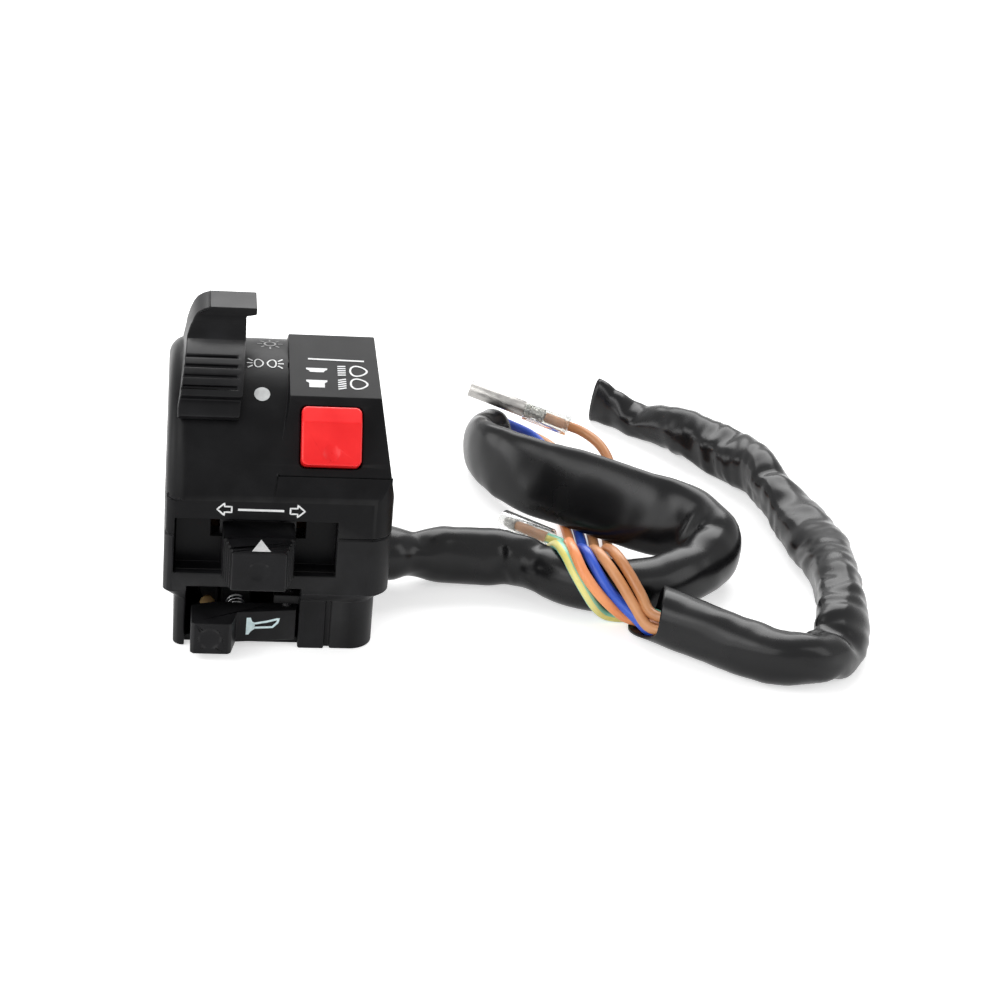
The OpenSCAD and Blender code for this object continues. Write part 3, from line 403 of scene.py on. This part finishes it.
FAR_FORM = [
    (0, 6.0, 2.4, 0, 0, 0.05), (0.5, 5.0, 3.2, 6, 0, 0.1), (1.1, 3.9, 4.7, 24, 0, 0.25),
    (1.8, 6.2, 5.9, 60, 0, 0.45), (2.5, 6.3, 5.6, 110, 0, 0.5), (3.3, 6.3, 5.2, 170, 0, 0.45),
    (4.2, 6.3, 4.9, 230, 0, 0.5), (5.2, 6.2, 5.2, 290, 0, 0.4), (6.4, 6.3, 5.2, 345, 0, 0.4),
    (7.6, 6.6, 5.4, 378, 0, 0.45), (8.6, 6.8, 5.2, 400, 0, 0.5), (9.3, 6.6, 4.6, 430, 0, 0.5),
    (10, 6.4, 5.2, 480, 0, 0.45), (10.8, 6.3, 5.3, 520, 0, 0.3), (12, 6.2, 5.7, 540, 0, 0.15),
    (13.2, 6.2, 5.8, 540, 0.3, 0.08), (14, 6.2, 5.9, 540, 0.5, 0),
]


def turned_round(form):
    """The form of a route that is followed from its other end."""
    end = form[-1][0]
    return [(end - at, tall, thick, -lean, *rest) for at, tall, thick, lean, *rest in form[::-1]]


def fold_push(a, s, crease):
    """How far long twisted folds and small dents push the skin, at an angle and a distance along."""
    twist = a + s * FOLD_TWIST
    fold = Vector((math.cos(twist) * FOLD_SPREAD, math.sin(twist) * FOLD_SPREAD, s * FOLD_PITCH))
    dent = Vector((s * DENT_PITCH + math.cos(a), math.sin(a) * DENT_SPREAD, s * DENT_DRIFT))
    return crease * FOLD_DEPTH * noise.noise(fold + FOLD_SEED) + crease * noise.noise(dent)


def bend_push(u, s, bend, crease):
    """How far the ripples on the inner side of a bend push the skin that faces u."""
    if bend.length < 1e-5:
        return 0.0
    tight = min(1.0, bend.length * BEND_TIGHT)
    inner = max(0.0, u.dot(bend.normalized()))
    stray = RIPPLE_STRAY * noise.noise(Vector((s * RIPPLE_DRIFT, u.z, RIPPLE_SEED)))
    ripple = math.sin(s * RIPPLE_PITCH + stray)
    return (RIPPLE_DEPTH + crease) * tight * inner ** RIPPLE_FADE * ripple


def sleeve(name, node, points, form, open_start, slant=(0, 0, 0), tongue=0.0, grounded=False):
    """A soft PVC sleeve: flattened, twisted and creased where it bends, and hollow at its open ends.

    The slant draws its first mouth out on the side to which it points, and the tongue draws out the
    bottom of that mouth. A grounded sleeve lies on the floor along its whole length.
    """
    slant = Vector(slant)
    line, where = smooth_line(points, SLEEVE_STEP)
    for p, at in zip(line, where):
        tall, thick, lean, lift, _ = key_at(form, at)
        lean = math.radians(lean)
        if grounded:
            p.z = FLOOR_Z + math.hypot(tall * math.cos(lean), thick * math.sin(lean))
        p.z += lift
    count = len(line)
    ahead = directions(line)
    bends = []
    for i in range(count):
        a, b = ahead[max(i - BEND_REACH, 0)], ahead[min(i + BEND_REACH, count - 1)]
        bends.append((b - a) / (2 * BEND_REACH * SLEEVE_STEP))

    def ring(i, inset=0.0):
        p, t, s = line[i], ahead[i], i * SLEEVE_STEP
        tall, thick, lean, _, crease = key_at(form, where[i])
        side = t.cross(UP).normalized()
        up = side.cross(t)
        lean = math.radians(lean)
        high = up * math.cos(lean) + side * math.sin(lean)
        wide = side * math.cos(lean) - up * math.sin(lean)
        out = []
        for k in range(SLEEVE_SIDES):
            a = 2 * math.pi * k / SLEEVE_SIDES
            c, d = (math.copysign(abs(f) ** SQUARENESS, f) for f in (math.cos(a), math.sin(a)))
            r = high * (tall - inset) * c + wide * (thick - inset) * d
            u = r.normalized()
            push = fold_push(a, s, crease) + bend_push(u, s, bends[i], crease)
            drawn = u.dot(slant) + tongue * max(0.0, -u.z) ** 3
            v = p + r + u * push - t * drawn * max(0.0, 1 - s / MOUTH_DRAWN) ** 2
            v.z = max(v.z, FLOOR_Z + FLOOR_GAP)
            out.append(v)
        return out

    deep = min(count // 3, int(MOUTH_DEPTH / SLEEVE_STEP))
    rings = []
    if open_start:
        rings += [ring(i, SLEEVE_WALL) for i in range(deep, 0, -3)]
        rings += [ring(0, inset) for inset in RIM_INSETS[::-1]]
    rings += [ring(i) for i in range(count)]
    rings += [ring(count - 1, inset) for inset in RIM_INSETS]
    rings += [ring(count - 1 - i, SLEEVE_WALL) for i in range(3, deep, 3)]
    faces = ring_faces(len(rings), SLEEVE_SIDES, flip=True)
    piece = add_mesh(name, [v for r in rings for v in r], faces, "sleeve_pvc", "casing")
    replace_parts(piece, node)
    return piece, line


def declare(line):
    """Builds a path along a cord's line, in metres, but nothing uses it. The path has every second point, and
    the last one.
    """
    path = [tuple(p * MM) for p in line[::2]]
    if len(line) % 2 == 0:
        path.append(tuple(line[-1] * MM))


near, near_line = sleeve("loom_sleeve_near", "sleeve_near", NEAR, NEAR_FORM, open_start=False)
declare(near_line)
far, far_line = sleeve(
    "loom_sleeve_far", "sleeve_far", FAR[::-1], turned_round(FAR_FORM), open_start=True,
    slant=(1.8, 2.4, -0.5), tongue=6.5, grounded=True)
declare(far_line)


# Wires of the loom

WIRE_R = 1.2
WIRE_STEP = 1.0
LOW_Z = -27.3
PLUG_Z = -26.0
MOUTH = Vector(FAR[-1])
MOUTH_WAY = Vector((-0.8, 0.6, 0))
MOUTH_GATHER = 0.8
MOUTH_RUN = (11, 5)
INNER = Vector(NEAR[-1])
INNER_WAY = Vector((0.5, 0.87, 0)).normalized()
INNER_GATHER = 0.85
INNER_RUN = (3, 7.5)
TERMINAL_RUN = 4
LIP = 0.6

# Ways of the wires from the mouth of the far sleeve, with heights over the middle of a sleeve
WIRES = {
    "tan": [
        (81.7, -20.2, -1.4), (78.9, -16, 1.2), (76, -11.7, 4.6), (73.4, -7.6, 7), (71.9, -3.8, 7.6),
        (71.6, 1, 5.8), (72.2, 6, 3), (73.4, 11, 0), (74.8, 16, -3.2), (75.4, 22, -4.8),
        (75.5, 34, -4.8), (75.2, 48, -4.8), (74.2, 56, -4.8), (73.7, 63, -4.8), (73, 69.9, -4.8),
        (67.8, 76.7, -3.9), (59.8, 77.8, -2.1), (55.7, 74.4, -1), (54.4, 72.1, -1),
    ],
    "orange": [
        (84.4, -16.4, -3.4), (81, -14.4, -3.6), (77.4, -13.6, -2.8), (74.2, -13, -0.6),
        (71, -11.8, 2.3), (68, -9.1, 5.6), (66.4, -5.2, 8), (65.8, 0, 7.8), (66.4, 5.2, 5),
        (67.6, 10, 1.4), (69, 15, -2.4), (69.8, 20.5, -4.8), (69.6, 34, -4.8), (68.8, 48, -4.8),
        (67.8, 56, -4.8), (67, 68.3, -4.8), (64.7, 71.3, -4.1), (60.9, 71.8, -2.5), (59.5, 72.2, -1),
        (58.2, 69.9, -1),
    ],
    "green": [
        (85.4, -15.2, -1.6), (82.9, -11.7, -2.7), (79.6, -10.3, -4.8), (76.5, -10.2, -4.8),
        (73.6, -10.3, -4.2), (71.2, -10.8, -2), (68.6, -10.3, 1.6), (66.3, -8, 4.8), (64.6, -4.2, 7),
        (63.6, 0.4, 6.9), (63.2, 5, 4.4), (63.2, 9.6, 1.2), (64.2, 14, -1.8), (66.2, 17.6, -3.3),
    ],
    "blue": [
        (82.6, -18.7, -3.6), (79.3, -15.8, -1.6), (76, -13, 0.6), (73, -10.9, 3.4), (70.6, -7.4, 6.2),
        (69.2, -3.4, 7.5), (68.9, 1.4, 5.8), (69.4, 6.2, 3), (70.6, 11, 0), (71.9, 16, -3.2),
        (72.6, 22, -4.8), (72.4, 34, -4.8), (72, 48, -4.8), (71, 56, -4.8), (70.5, 63, -4.8),
        (70, 69.1, -4.3), (66.3, 74, -2.1), (60.1, 74.8, 0.5), (57.6, 73.3, 2), (56.3, 71, 2),
    ],
    "brown": [
        (82.2, -18.3, 1), (80.4, -14.4, 3.2), (78.2, -10.4, 5.9), (76.4, -6.8, 7.6), (75.3, -3, 7.6),
        (75, 2, 5.6), (75.4, 7, 2.8), (76.5, 12, -0.6), (77.8, 17, -4), (78.4, 20.5, -4.8),
        (79, 30, -4.8), (79, 38, -4.8), (81.2, 46, -3.1), (83, 53.5, -0.1), (81, 60.2, 2.6),
    ],
}
STRIPES = {"green": ("wire_yellow", (7, 8, 9))}


def ring_profile(r, wall, a, b):
    """Section of a thin tube with rounded rims."""
    e = wall / 3
    return [(r - wall, a + e), (r - wall + e, a), (r - e, a), (r, a + e), (r, b - e), (r - e, b),
            (r - wall + e, b), (r - wall, b - e), (r - wall, a + e)]


# The clear sleeve covers the whole of the short terminal, and only the root of the long one
TERMINALS = {
    "green": dict(
        name="short_terminal", spot=(64.6, 23.3, PLUG_Z), way=(-0.754, 0.657, 0),
        parts={
            "barrel": ("terminal_tin", [
                (1.3, 9.2), (1.5, 9.4), (1.5, 10.4), (1.25, 10.7), (1.25, 11.2), (1.4, 11.4), (1.3, 12.2),
                (0.7, 12.6)]),
            "wire": ("wire_brown", [(1.0, 0.2), (1.22, 0.4), (1.22, 8.8), (1.0, 9.1)]),
            "sleeve": ("terminal_clear", ring_profile(2.5, 0.45, -0.8, 12.8)),
        }),
    "brown": dict(
        name="long_terminal", spot=(73, 66.3, REST_Z + 4.9), way=(-0.929, 0.295, 0.2205),
        parts={
            "barrel": ("terminal_tin", ring_profile(1.95, 0.4, 9.4, 25.0)),
            "crimp": ("terminal_tin", [
                (1.2, 5.6), (1.6, 5.8), (1.6, 7.2), (1.35, 7.6), (1.35, 8.6), (1.54, 9.0), (1.54, 12.0),
                (1.2, 12.2)]),
            "wire": ("wire_brown", [(1.0, 0.2), (1.25, 0.4), (1.25, 5.2), (1.0, 5.5)]),
            "sleeve": ("terminal_clear", ring_profile(2.5, 0.45, -0.8, 10.6)),
        }),
}


def add_terminal(plan):
    pieces = []
    for part, (finish, profile) in plan["parts"].items():
        piece = lathe(f"{plan['name']}_{part}", plan["spot"], plan["way"], profile, finish, "casing")
        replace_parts(piece, "terminal_sleeves" if part == "sleeve" else "bullet_terminals")
        pieces.append(piece)
    return pieces


def wire_line(colour):
    """A wire's way from inside the far sleeve to its terminal, or on into the near sleeve."""
    points = [Vector(p) + UP * REST_Z for p in WIRES[colour]]
    beside = (points[0] - MOUTH - MOUTH_WAY * LIP) * MOUTH_GATHER
    points = [MOUTH - MOUTH_WAY * d + beside for d in MOUTH_RUN] + points
    if colour in TERMINALS:
        spot, way = Vector(TERMINALS[colour]["spot"]), Vector(TERMINALS[colour]["way"])
        points += [spot - way * TERMINAL_RUN, spot]
    else:
        beside = (points[-1] - INNER - INNER_WAY * LIP) * INNER_GATHER
        points += [INNER - INNER_WAY * d + beside for d in INNER_RUN]
    line, _ = smooth_line(points, WIRE_STEP)
    return [Vector((p.x, p.y, max(p.z, LOW_Z))) for p in line]


for colour in WIRES:
    ends = add_terminal(TERMINALS[colour]) if colour in TERMINALS else []
    line = wire_line(colour)
    wire = tube(
        f"wire_{colour}_lead", line, WIRE_R, f"wire_{colour}", "casing", stripe=STRIPES.get(colour))
    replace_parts(wire, f"wire_{colour}")
    declare(line)


# Leads and springs inside

# The sloping face round the dimmer button: a point on the button's axis, and the ways up and out
FACE_P = Vector((9.9, -21.7359, 20.1808))
FACE_U = Vector((0, 0.563994, 0.825779))
FACE_N = Vector((0, -0.825779, 0.563994))
LEAD_R = 0.9
LEAD_TAIL = FACE_P + FACE_U * 6.25 - FACE_N * 15.873
INNER_LEADS = {
    "wire_blue": [
        (13, 6, -20), (10, 6, -20), (4, 11, -20), (2, 15.85, -12), (2, 15.85, 8), (-3.3, 11.5, 12.5),
        (-6.9, 11.5, 12.5)],
    "wire_orange": [
        (13, 0, -22), (10, 0, -22), (-11, -6, -22.95), (-14, -9, -22.95), (-14, -12.8, -22.95)],
    "wire_green": [
        (13, 4, -17), (10, 4, -17), (7, 11, -17), (6, 15.85, -11), (6, 15.85, 6), (8, 8, 17),
        LEAD_TAIL + FACE_U * 3, LEAD_TAIL],
}
for number, (finish, points) in enumerate(INNER_LEADS.items(), 1):
    line, _ = smooth_line(points, WIRE_STEP)
    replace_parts(tube(f"inner_lead_{number}", line, LEAD_R, finish, "casing", sides=10), "inner_leads")

COIL_STEPS = 22


def coil(name, node, base, axis, radius, wire, height, turns):
    """A wound spring between two flat faces."""
    axis = Vector(axis).normalized()
    x = axis.orthogonal().normalized()
    y = axis.cross(x)
    count = int(turns * COIL_STEPS)
    line = []
    for i in range(count + 1):
        f = i / count
        a = 2 * math.pi * turns * f
        middle = Vector(base) + axis * (wire / 2 + (height - wire) * f)
        line.append(middle + (x * math.cos(a) + y * math.sin(a)) * radius)
    piece = tube(name, line, wire / 2, "steel", BODY_OF[node], sides=10)
    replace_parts(piece, node)
    return piece


DIMMER_FOOT = FACE_P - FACE_N * 11.923
dimmer_coil = coil(
    "dimmer_return_spring", "dimmer_spring", DIMMER_FOOT, FACE_N,
    radius=5, wire=0.7, height=6.923, turns=4)
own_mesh(dimmer_coil)

horn_coil = coil(
    "horn_return_spring", "horn_spring", (-8, -22, -22.95), (0, 1, 0),
    radius=2, wire=0.6, height=6.4, turns=4)
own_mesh(horn_coil)

LIGHT_CLICK = math.radians(62)
LIGHT_WAY = Vector((0, -math.cos(LIGHT_CLICK), math.sin(LIGHT_CLICK)))
coil(
    "light_click_spring", "light_detent_spring", Vector((-15.2, 0, 0)) + LIGHT_WAY * 16.15, LIGHT_WAY,
    radius=1, wire=0.4, height=4.56, turns=5)
coil(
    "turn_click_spring", "turn_detent_spring", (-4.2, -18.575, -5.4), (0, 0, 1),
    radius=0.6, wire=0.25, height=2.4, turns=3)


# Casing and controls

SAME_POINT = 4e-6
FLAT_ANGLE = math.radians(0.6)
EDGE_ANGLE = math.radians(24)
MOST_CORNERS = 8
ROUNDING = {
    "upper_casing": 0.3, "lower_casing": 0.3, "light_lever": 0.3, "dimmer_button": 0.35, "turn_knob": 0.25,
    "turn_tray": 0.15, "horn_paddle": 0.25, "cable_grommet": 0.2, "casing_screws": 0.15,
}


def plain_faces(node):
    """The CAD solid's mesh in whole flat faces, apart from those with many corners."""
    work = bmesh.new()
    work.from_mesh(frame["nodes"][node].data)
    bmesh.ops.remove_doubles(work, verts=work.verts, dist=SAME_POINT)
    bmesh.ops.dissolve_limit(
        work, angle_limit=FLAT_ANGLE, use_dissolve_boundaries=False, verts=work.verts, edges=work.edges)
    many = [f for f in work.faces if len(f.verts) > MOST_CORNERS]
    bmesh.ops.triangulate(work, faces=many, ngon_method="EAR_CLIP")
    mesh = bpy.data.meshes.new(f"{node}_moulding")
    work.to_mesh(mesh)
    work.free()
    return mesh


def moulded(node, width):
    """The CAD solid with its edges rounded as in a moulding."""
    mesh = plain_faces(node)
    mesh.materials.clear()
    mesh.materials.append(FINISH[SLOT_OF[node]])
    mesh.polygons.foreach_set("use_smooth", [True] * len(mesh.polygons))
    mesh.polygons.foreach_set("material_index", [0] * len(mesh.polygons))
    piece = bpy.data.objects.new(f"{node}_moulding", mesh)
    scene.collection.objects.link(piece)
    bevel = piece.modifiers.new("edges", "BEVEL")
    bevel.width = width * MM
    bevel.segments = 3
    bevel.limit_method = "ANGLE"
    bevel.angle_limit = EDGE_ANGLE
    bevel.use_clamp_overlap = False
    rounded = bpy.data.meshes.new_from_object(piece.evaluated_get(bpy.context.evaluated_depsgraph_get()))
    piece.modifiers.remove(bevel)

    # A corner that the rounding throws off the solid goes back to it
    tree = surface_tree(mesh)
    for v in rounded.vertices:
        spot, _, _, far_off = tree.find_nearest(v.co)
        if far_off > width * MM:
            v.co = spot
    piece.data = rounded
    normals = piece.modifiers.new("normals", "WEIGHTED_NORMAL")
    normals.keep_sharp = True
    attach(piece, BODY_OF[node])
    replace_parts(piece, node)


for node, width in ROUNDING.items():
    moulded(node, width)

for node, piece in frame["nodes"].items():
    for holder in piece.material_slots:
        holder.material = FINISH[SLOT_OF[node]]


# Printing

PRINT_STEP = 0.4


class Print:
    """Flat marks drawn in two directions and laid on a surface."""

    def __init__(self):
        self.points, self.faces = [], []

    def area(self, outline):
        first = len(self.points)
        self.points += outline
        self.faces.append(tuple(range(first, first + len(outline))))

    def line(self, path, width, closed=False):
        path = [Vector(p) for p in path]
        steps = []
        turns = path + [path[0]] if closed else path
        for a, b in zip(turns, turns[1:]):
            n = max(1, round((b - a).length / PRINT_STEP))
            steps += [a.lerp(b, i / n) for i in range(n)]
        if not closed:
            steps.append(path[-1])
        first, n = len(self.points), len(steps)
        for i, p in enumerate(steps):
            a = steps[(i - 1) % n] if closed or i else p
            b = steps[(i + 1) % n] if closed or i < n - 1 else p
            d = (b - a).normalized()
            out = Vector((-d.y, d.x)) * width / 2
            self.points += [tuple(p + out), tuple(p - out)]
        for i in range(n if closed else n - 1):
            j = (i + 1) % n
            self.faces.append((first + 2 * i, first + 2 * i + 1, first + 2 * j + 1, first + 2 * j))

    def oval(self, centre, rx, ry, width, squeeze=0.0, n=36):
        path = []
        for i in range(n):
            a = 2 * math.pi * i / n
            c, s = math.cos(a), math.sin(a)
            path.append((centre[0] + rx * c, centre[1] + ry * s * (1 - squeeze * c)))
        self.line(path, width, closed=True)

    def disc(self, centre, rx, ry, n=40):
        first = len(self.points)
        self.points.append(tuple(centre))
        for ring in (0.35, 0.7, 1.0):
            for i in range(n):
                a = 2 * math.pi * i / n
                self.points.append((centre[0] + rx * ring * math.cos(a), centre[1] + ry * ring * math.sin(a)))
        for i in range(n):
            j = (i + 1) % n
            self.faces.append((first, first + 1 + i, first + 1 + j))
            for ring in (0, 1):
                a, b = first + 1 + ring * n, first + 1 + (ring + 1) * n
                self.faces.append((a + i, b + i, b + j, a + j))

    def lay(self, name, node, ray, finish, height=0.05):
        """Drops each point on the node along the ray that is given for it."""
        tree = surface_tree(frame["nodes"][node].data)
        verts = []
        for p in self.points:
            start, way = ray(*p)
            way = Vector(way).normalized()
            hit, _, _, _ = tree.ray_cast(Vector(start) * MM, way)
            if hit is None:
                raise RuntimeError(f"{name}: a point of the print misses {node}")
            verts.append((hit - way * height * MM) / MM)
        return add_mesh(name, verts, self.faces, finish, BODY_OF[node], smooth=False)


# Rays for the points of a print: a start well clear of the part, and the way to it

BARREL_R = 29.5
BARREL_CLEAR = 45
FRONT_CLEAR = -60
TOP_CLEAR = 20
FACET_CLEAR = 10
FACET_EDGE = Vector((0, -17.0048, 27.1079))
FACET_END = Vector((0, 4.1768, 31.7262))
FACET_V = (FACET_END - FACET_EDGE).normalized()
FACET_N = Vector((1, 0, 0)).cross(FACET_V)


def on_front(x, z):
    return (x, FRONT_CLEAR, z), (0, 1, 0)


def on_barrel(x, v):
    """v is the distance up the barrel from its front."""
    a = v / BARREL_R
    way = Vector((0, math.cos(a), -math.sin(a)))
    return Vector((x, 0, 0)) - way * BARREL_CLEAR, way


def on_facet(x, v):
    """v is the distance up the facet from its front edge."""
    return FACET_EDGE + Vector((x, 0, 0)) + FACET_V * v + FACET_N * FACET_CLEAR, -FACET_N


def on_top(x, y):
    return (x, y, TOP_CLEAR), (0, 0, -1)


def barrel_v(angle):
    return math.radians(angle) * BARREL_R


turns = Print()
level = 6.2
for tip, s in ((-13.1, 1), (5.0, -1)):
    head, tail = tip + s * 1.5, tip + s * 3
    turns.line([
        (tip, level), (head, level + 1.4), (head, level + 0.65), (tail, level + 0.65),
        (tail, level - 0.65), (head, level - 0.65), (head, level - 1.4)], 0.36, closed=True)
turns.line([(-8.8, level), (0.7, level)], 0.5)
turns.lay("turn_arrows_print", "upper_casing", on_front, "print_white")

dot = Print()
dot.disc((-4.45, barrel_v(61.5)), 1.65, 1.75)
dot.lay("lever_dot_print", "upper_casing", on_barrel, "print_grey", 0.07)

lamps = Print()
level = barrel_v(79.3)
lamps.oval((-5.1, level), 0.9, 1.35, 0.3, squeeze=0.25)
lamps.oval((-2.4, level), 0.9, 1.3, 0.3, squeeze=-0.25)
for s, x0, x1 in ((-1, -6.4, -7.6), (1, -1.1, 0.1)):
    lamps.line([(x0, level), (x1, level)], 0.34)
    for side in (1, -1):
        lamps.line([(x0, level + side * 0.8), (x1 - s * 0.2, level + side * 1.6)], 0.34)
lamps.lay("position_lamps_print", "upper_casing", on_barrel, "print_white", 0.07)

sun = Print()
middle, level = -2.6, barrel_v(97.6)
sun.oval((middle, level), 1.15, 1.4, 0.4)
for i in range(8):
    a = math.pi / 4 * i
    c, s = math.cos(a), math.sin(a)
    sun.line([(middle + 1.7 * c, level + 2.0 * s), (middle + 2.7 * c, level + 3.1 * s)], 0.36)
sun.lay("headlamp_print", "upper_casing", on_barrel, "print_worn", 0.07)

beams = Print()
beams.line([(5.2, 13.0), (17.0, 12.75)], 0.5)
beams.area([
    (4.7, 9.85), (4.7, 9.35), (5.3, 8.97), (5.5, 8.46), (8.4, 8.46), (8.6, 8.97), (9.15, 9.35), (9.15, 9.85)])
beams.area([
    (4.65, 5.73), (4.65, 5.18), (5.25, 4.72), (5.25, 3.24), (8.5, 3.24), (8.5, 4.72), (9.05, 5.18),
    (9.05, 5.73)])
for top, bottom, droop in ((10.87, 7.58, 0.1), (6.47, 3.19, 0.5)):
    beams.oval((15.7, (top + bottom) / 2), 1.75, (top - bottom) / 2, 0.42, squeeze=0.3)
    for i in range(5):
        v = top - 0.1 + (bottom - top + 0.3) * i / 4
        beams.line([(11.3, v - droop), (13.0, v)], 0.38)
beams.lay("dimmer_beams_print", "upper_casing", on_facet, "print_white")

mark = Print()
mark.area([(-5.8, -35.4), (-1.9, -35.4), (-3.8, -31.2)])
mark.lay("turn_knob_print", "turn_knob", on_top, "print_white", 0.08)

horn = Print()
horn.area([
    (-5.9, -24.8), (-5.3, -24.8), (-4.9, -24.1), (-4.1, -23.5), (-4.1, -21.95), (-4.6, -21.7),
    (-5.0, -20.7), (-5.85, -20.7)])
horn.line([
    (-4.3, -22.2), (-1.4, -21.8), (1.0, -21.25), (0.7, -22.2), (-0.3, -23.2), (-4.3, -23.2)],
    0.5, closed=True)
horn.lay("horn_print", "horn_paddle", on_front, "print_cyan")


# Floor and light, in metres

FLOOR_HALF = 6.0
FLOOR_PAINT = 0.85
FLOOR_GLOW = 0.55
WORLD_LIGHT = 0.3
LAMPS = {
    "window": dict(spot=(0.1, 0.8, 0.74), aim=(0.03, 0.02, 0), size=(1.1, 0.7), power=13),
    "left": dict(spot=(-0.66, -0.72, 0.46), aim=(0.02, 0, 0), size=(1.0, 0.8), power=5.5),
    "over": dict(spot=(-0.62, -0.24, 0.64), aim=(0.06, 0.03, 0), size=(0.5, 0.4), power=2.2),
    "rim": dict(spot=(-0.95, 0.06, 0.2), aim=(0, 0, 0), size=(0.5, 0.4), power=2.5),
    "right": dict(spot=(0.85, -0.45, 0.5), aim=(0.05, 0, 0), size=(0.5, 0.8), power=3),
}


def seen_plainly(tree):
    """1 for what the camera sees by itself, in a reflection or through something clear."""
    path = tree.nodes.new("ShaderNodeLightPath").outputs
    value = path["Is Camera Ray"]
    for ray in ("Is Glossy Ray", "Is Transmission Ray"):
        value = combined(tree, "MAXIMUM", value, path[ray])
    return value


def build_floor():
    """A pale floor that keeps the shadows. Where it is seen plainly it has a glow of its own."""
    s, z = FLOOR_HALF, FLOOR_Z * MM
    mesh = bpy.data.meshes.new("floor")
    mesh.from_pydata([(-s, -s, z), (s, -s, z), (s, s, z), (-s, s, z)], [], [(0, 1, 2, 3)])
    mat = bpy.data.materials.new("floor_white")
    mat.use_nodes = True
    tree = mat.node_tree
    tree.nodes.clear()
    out = tree.nodes.new("ShaderNodeOutputMaterial")
    paint = tree.nodes.new("ShaderNodeBsdfDiffuse")
    paint.inputs["Color"].default_value = (FLOOR_PAINT, FLOOR_PAINT, FLOOR_PAINT, 1)
    glow = tree.nodes.new("ShaderNodeEmission")
    tree.links.new(mapped(tree, seen_plainly(tree), (0, 1), (0, FLOOR_GLOW)), glow.inputs["Strength"])
    both = tree.nodes.new("ShaderNodeAddShader")
    tree.links.new(paint.outputs[0], both.inputs[0])
    tree.links.new(glow.outputs[0], both.inputs[1])
    tree.links.new(both.outputs[0], out.inputs["Surface"])
    mesh.materials.append(mat)
    floor = bpy.data.objects.new("floor", mesh)
    scene.collection.objects.link(floor)


def build_world():
    """A white world that gives little light by itself."""
    world = bpy.data.worlds.new("studio")
    world.use_nodes = True
    scene.world = world
    tree = world.node_tree
    back = tree.nodes["Background"]
    back.inputs["Color"].default_value = (1, 1, 1, 1)
    tree.links.new(mapped(tree, seen_plainly(tree), (0, 1), (WORLD_LIGHT, 1.0)), back.inputs["Strength"])


def soft_box(name, spot, aim, size, power):
    data = bpy.data.lights.new(name, "AREA")
    data.shape = "RECTANGLE"
    data.size, data.size_y = size
    data.energy = power
    lamp = bpy.data.objects.new(name, data)
    lamp.location = spot
    lamp.rotation_euler = (Vector(aim) - Vector(spot)).to_track_quat("-Z", "Y").to_euler()
    scene.collection.objects.link(lamp)


build_floor()
build_world()
for name, lamp in LAMPS.items():
    soft_box(name, **lamp)
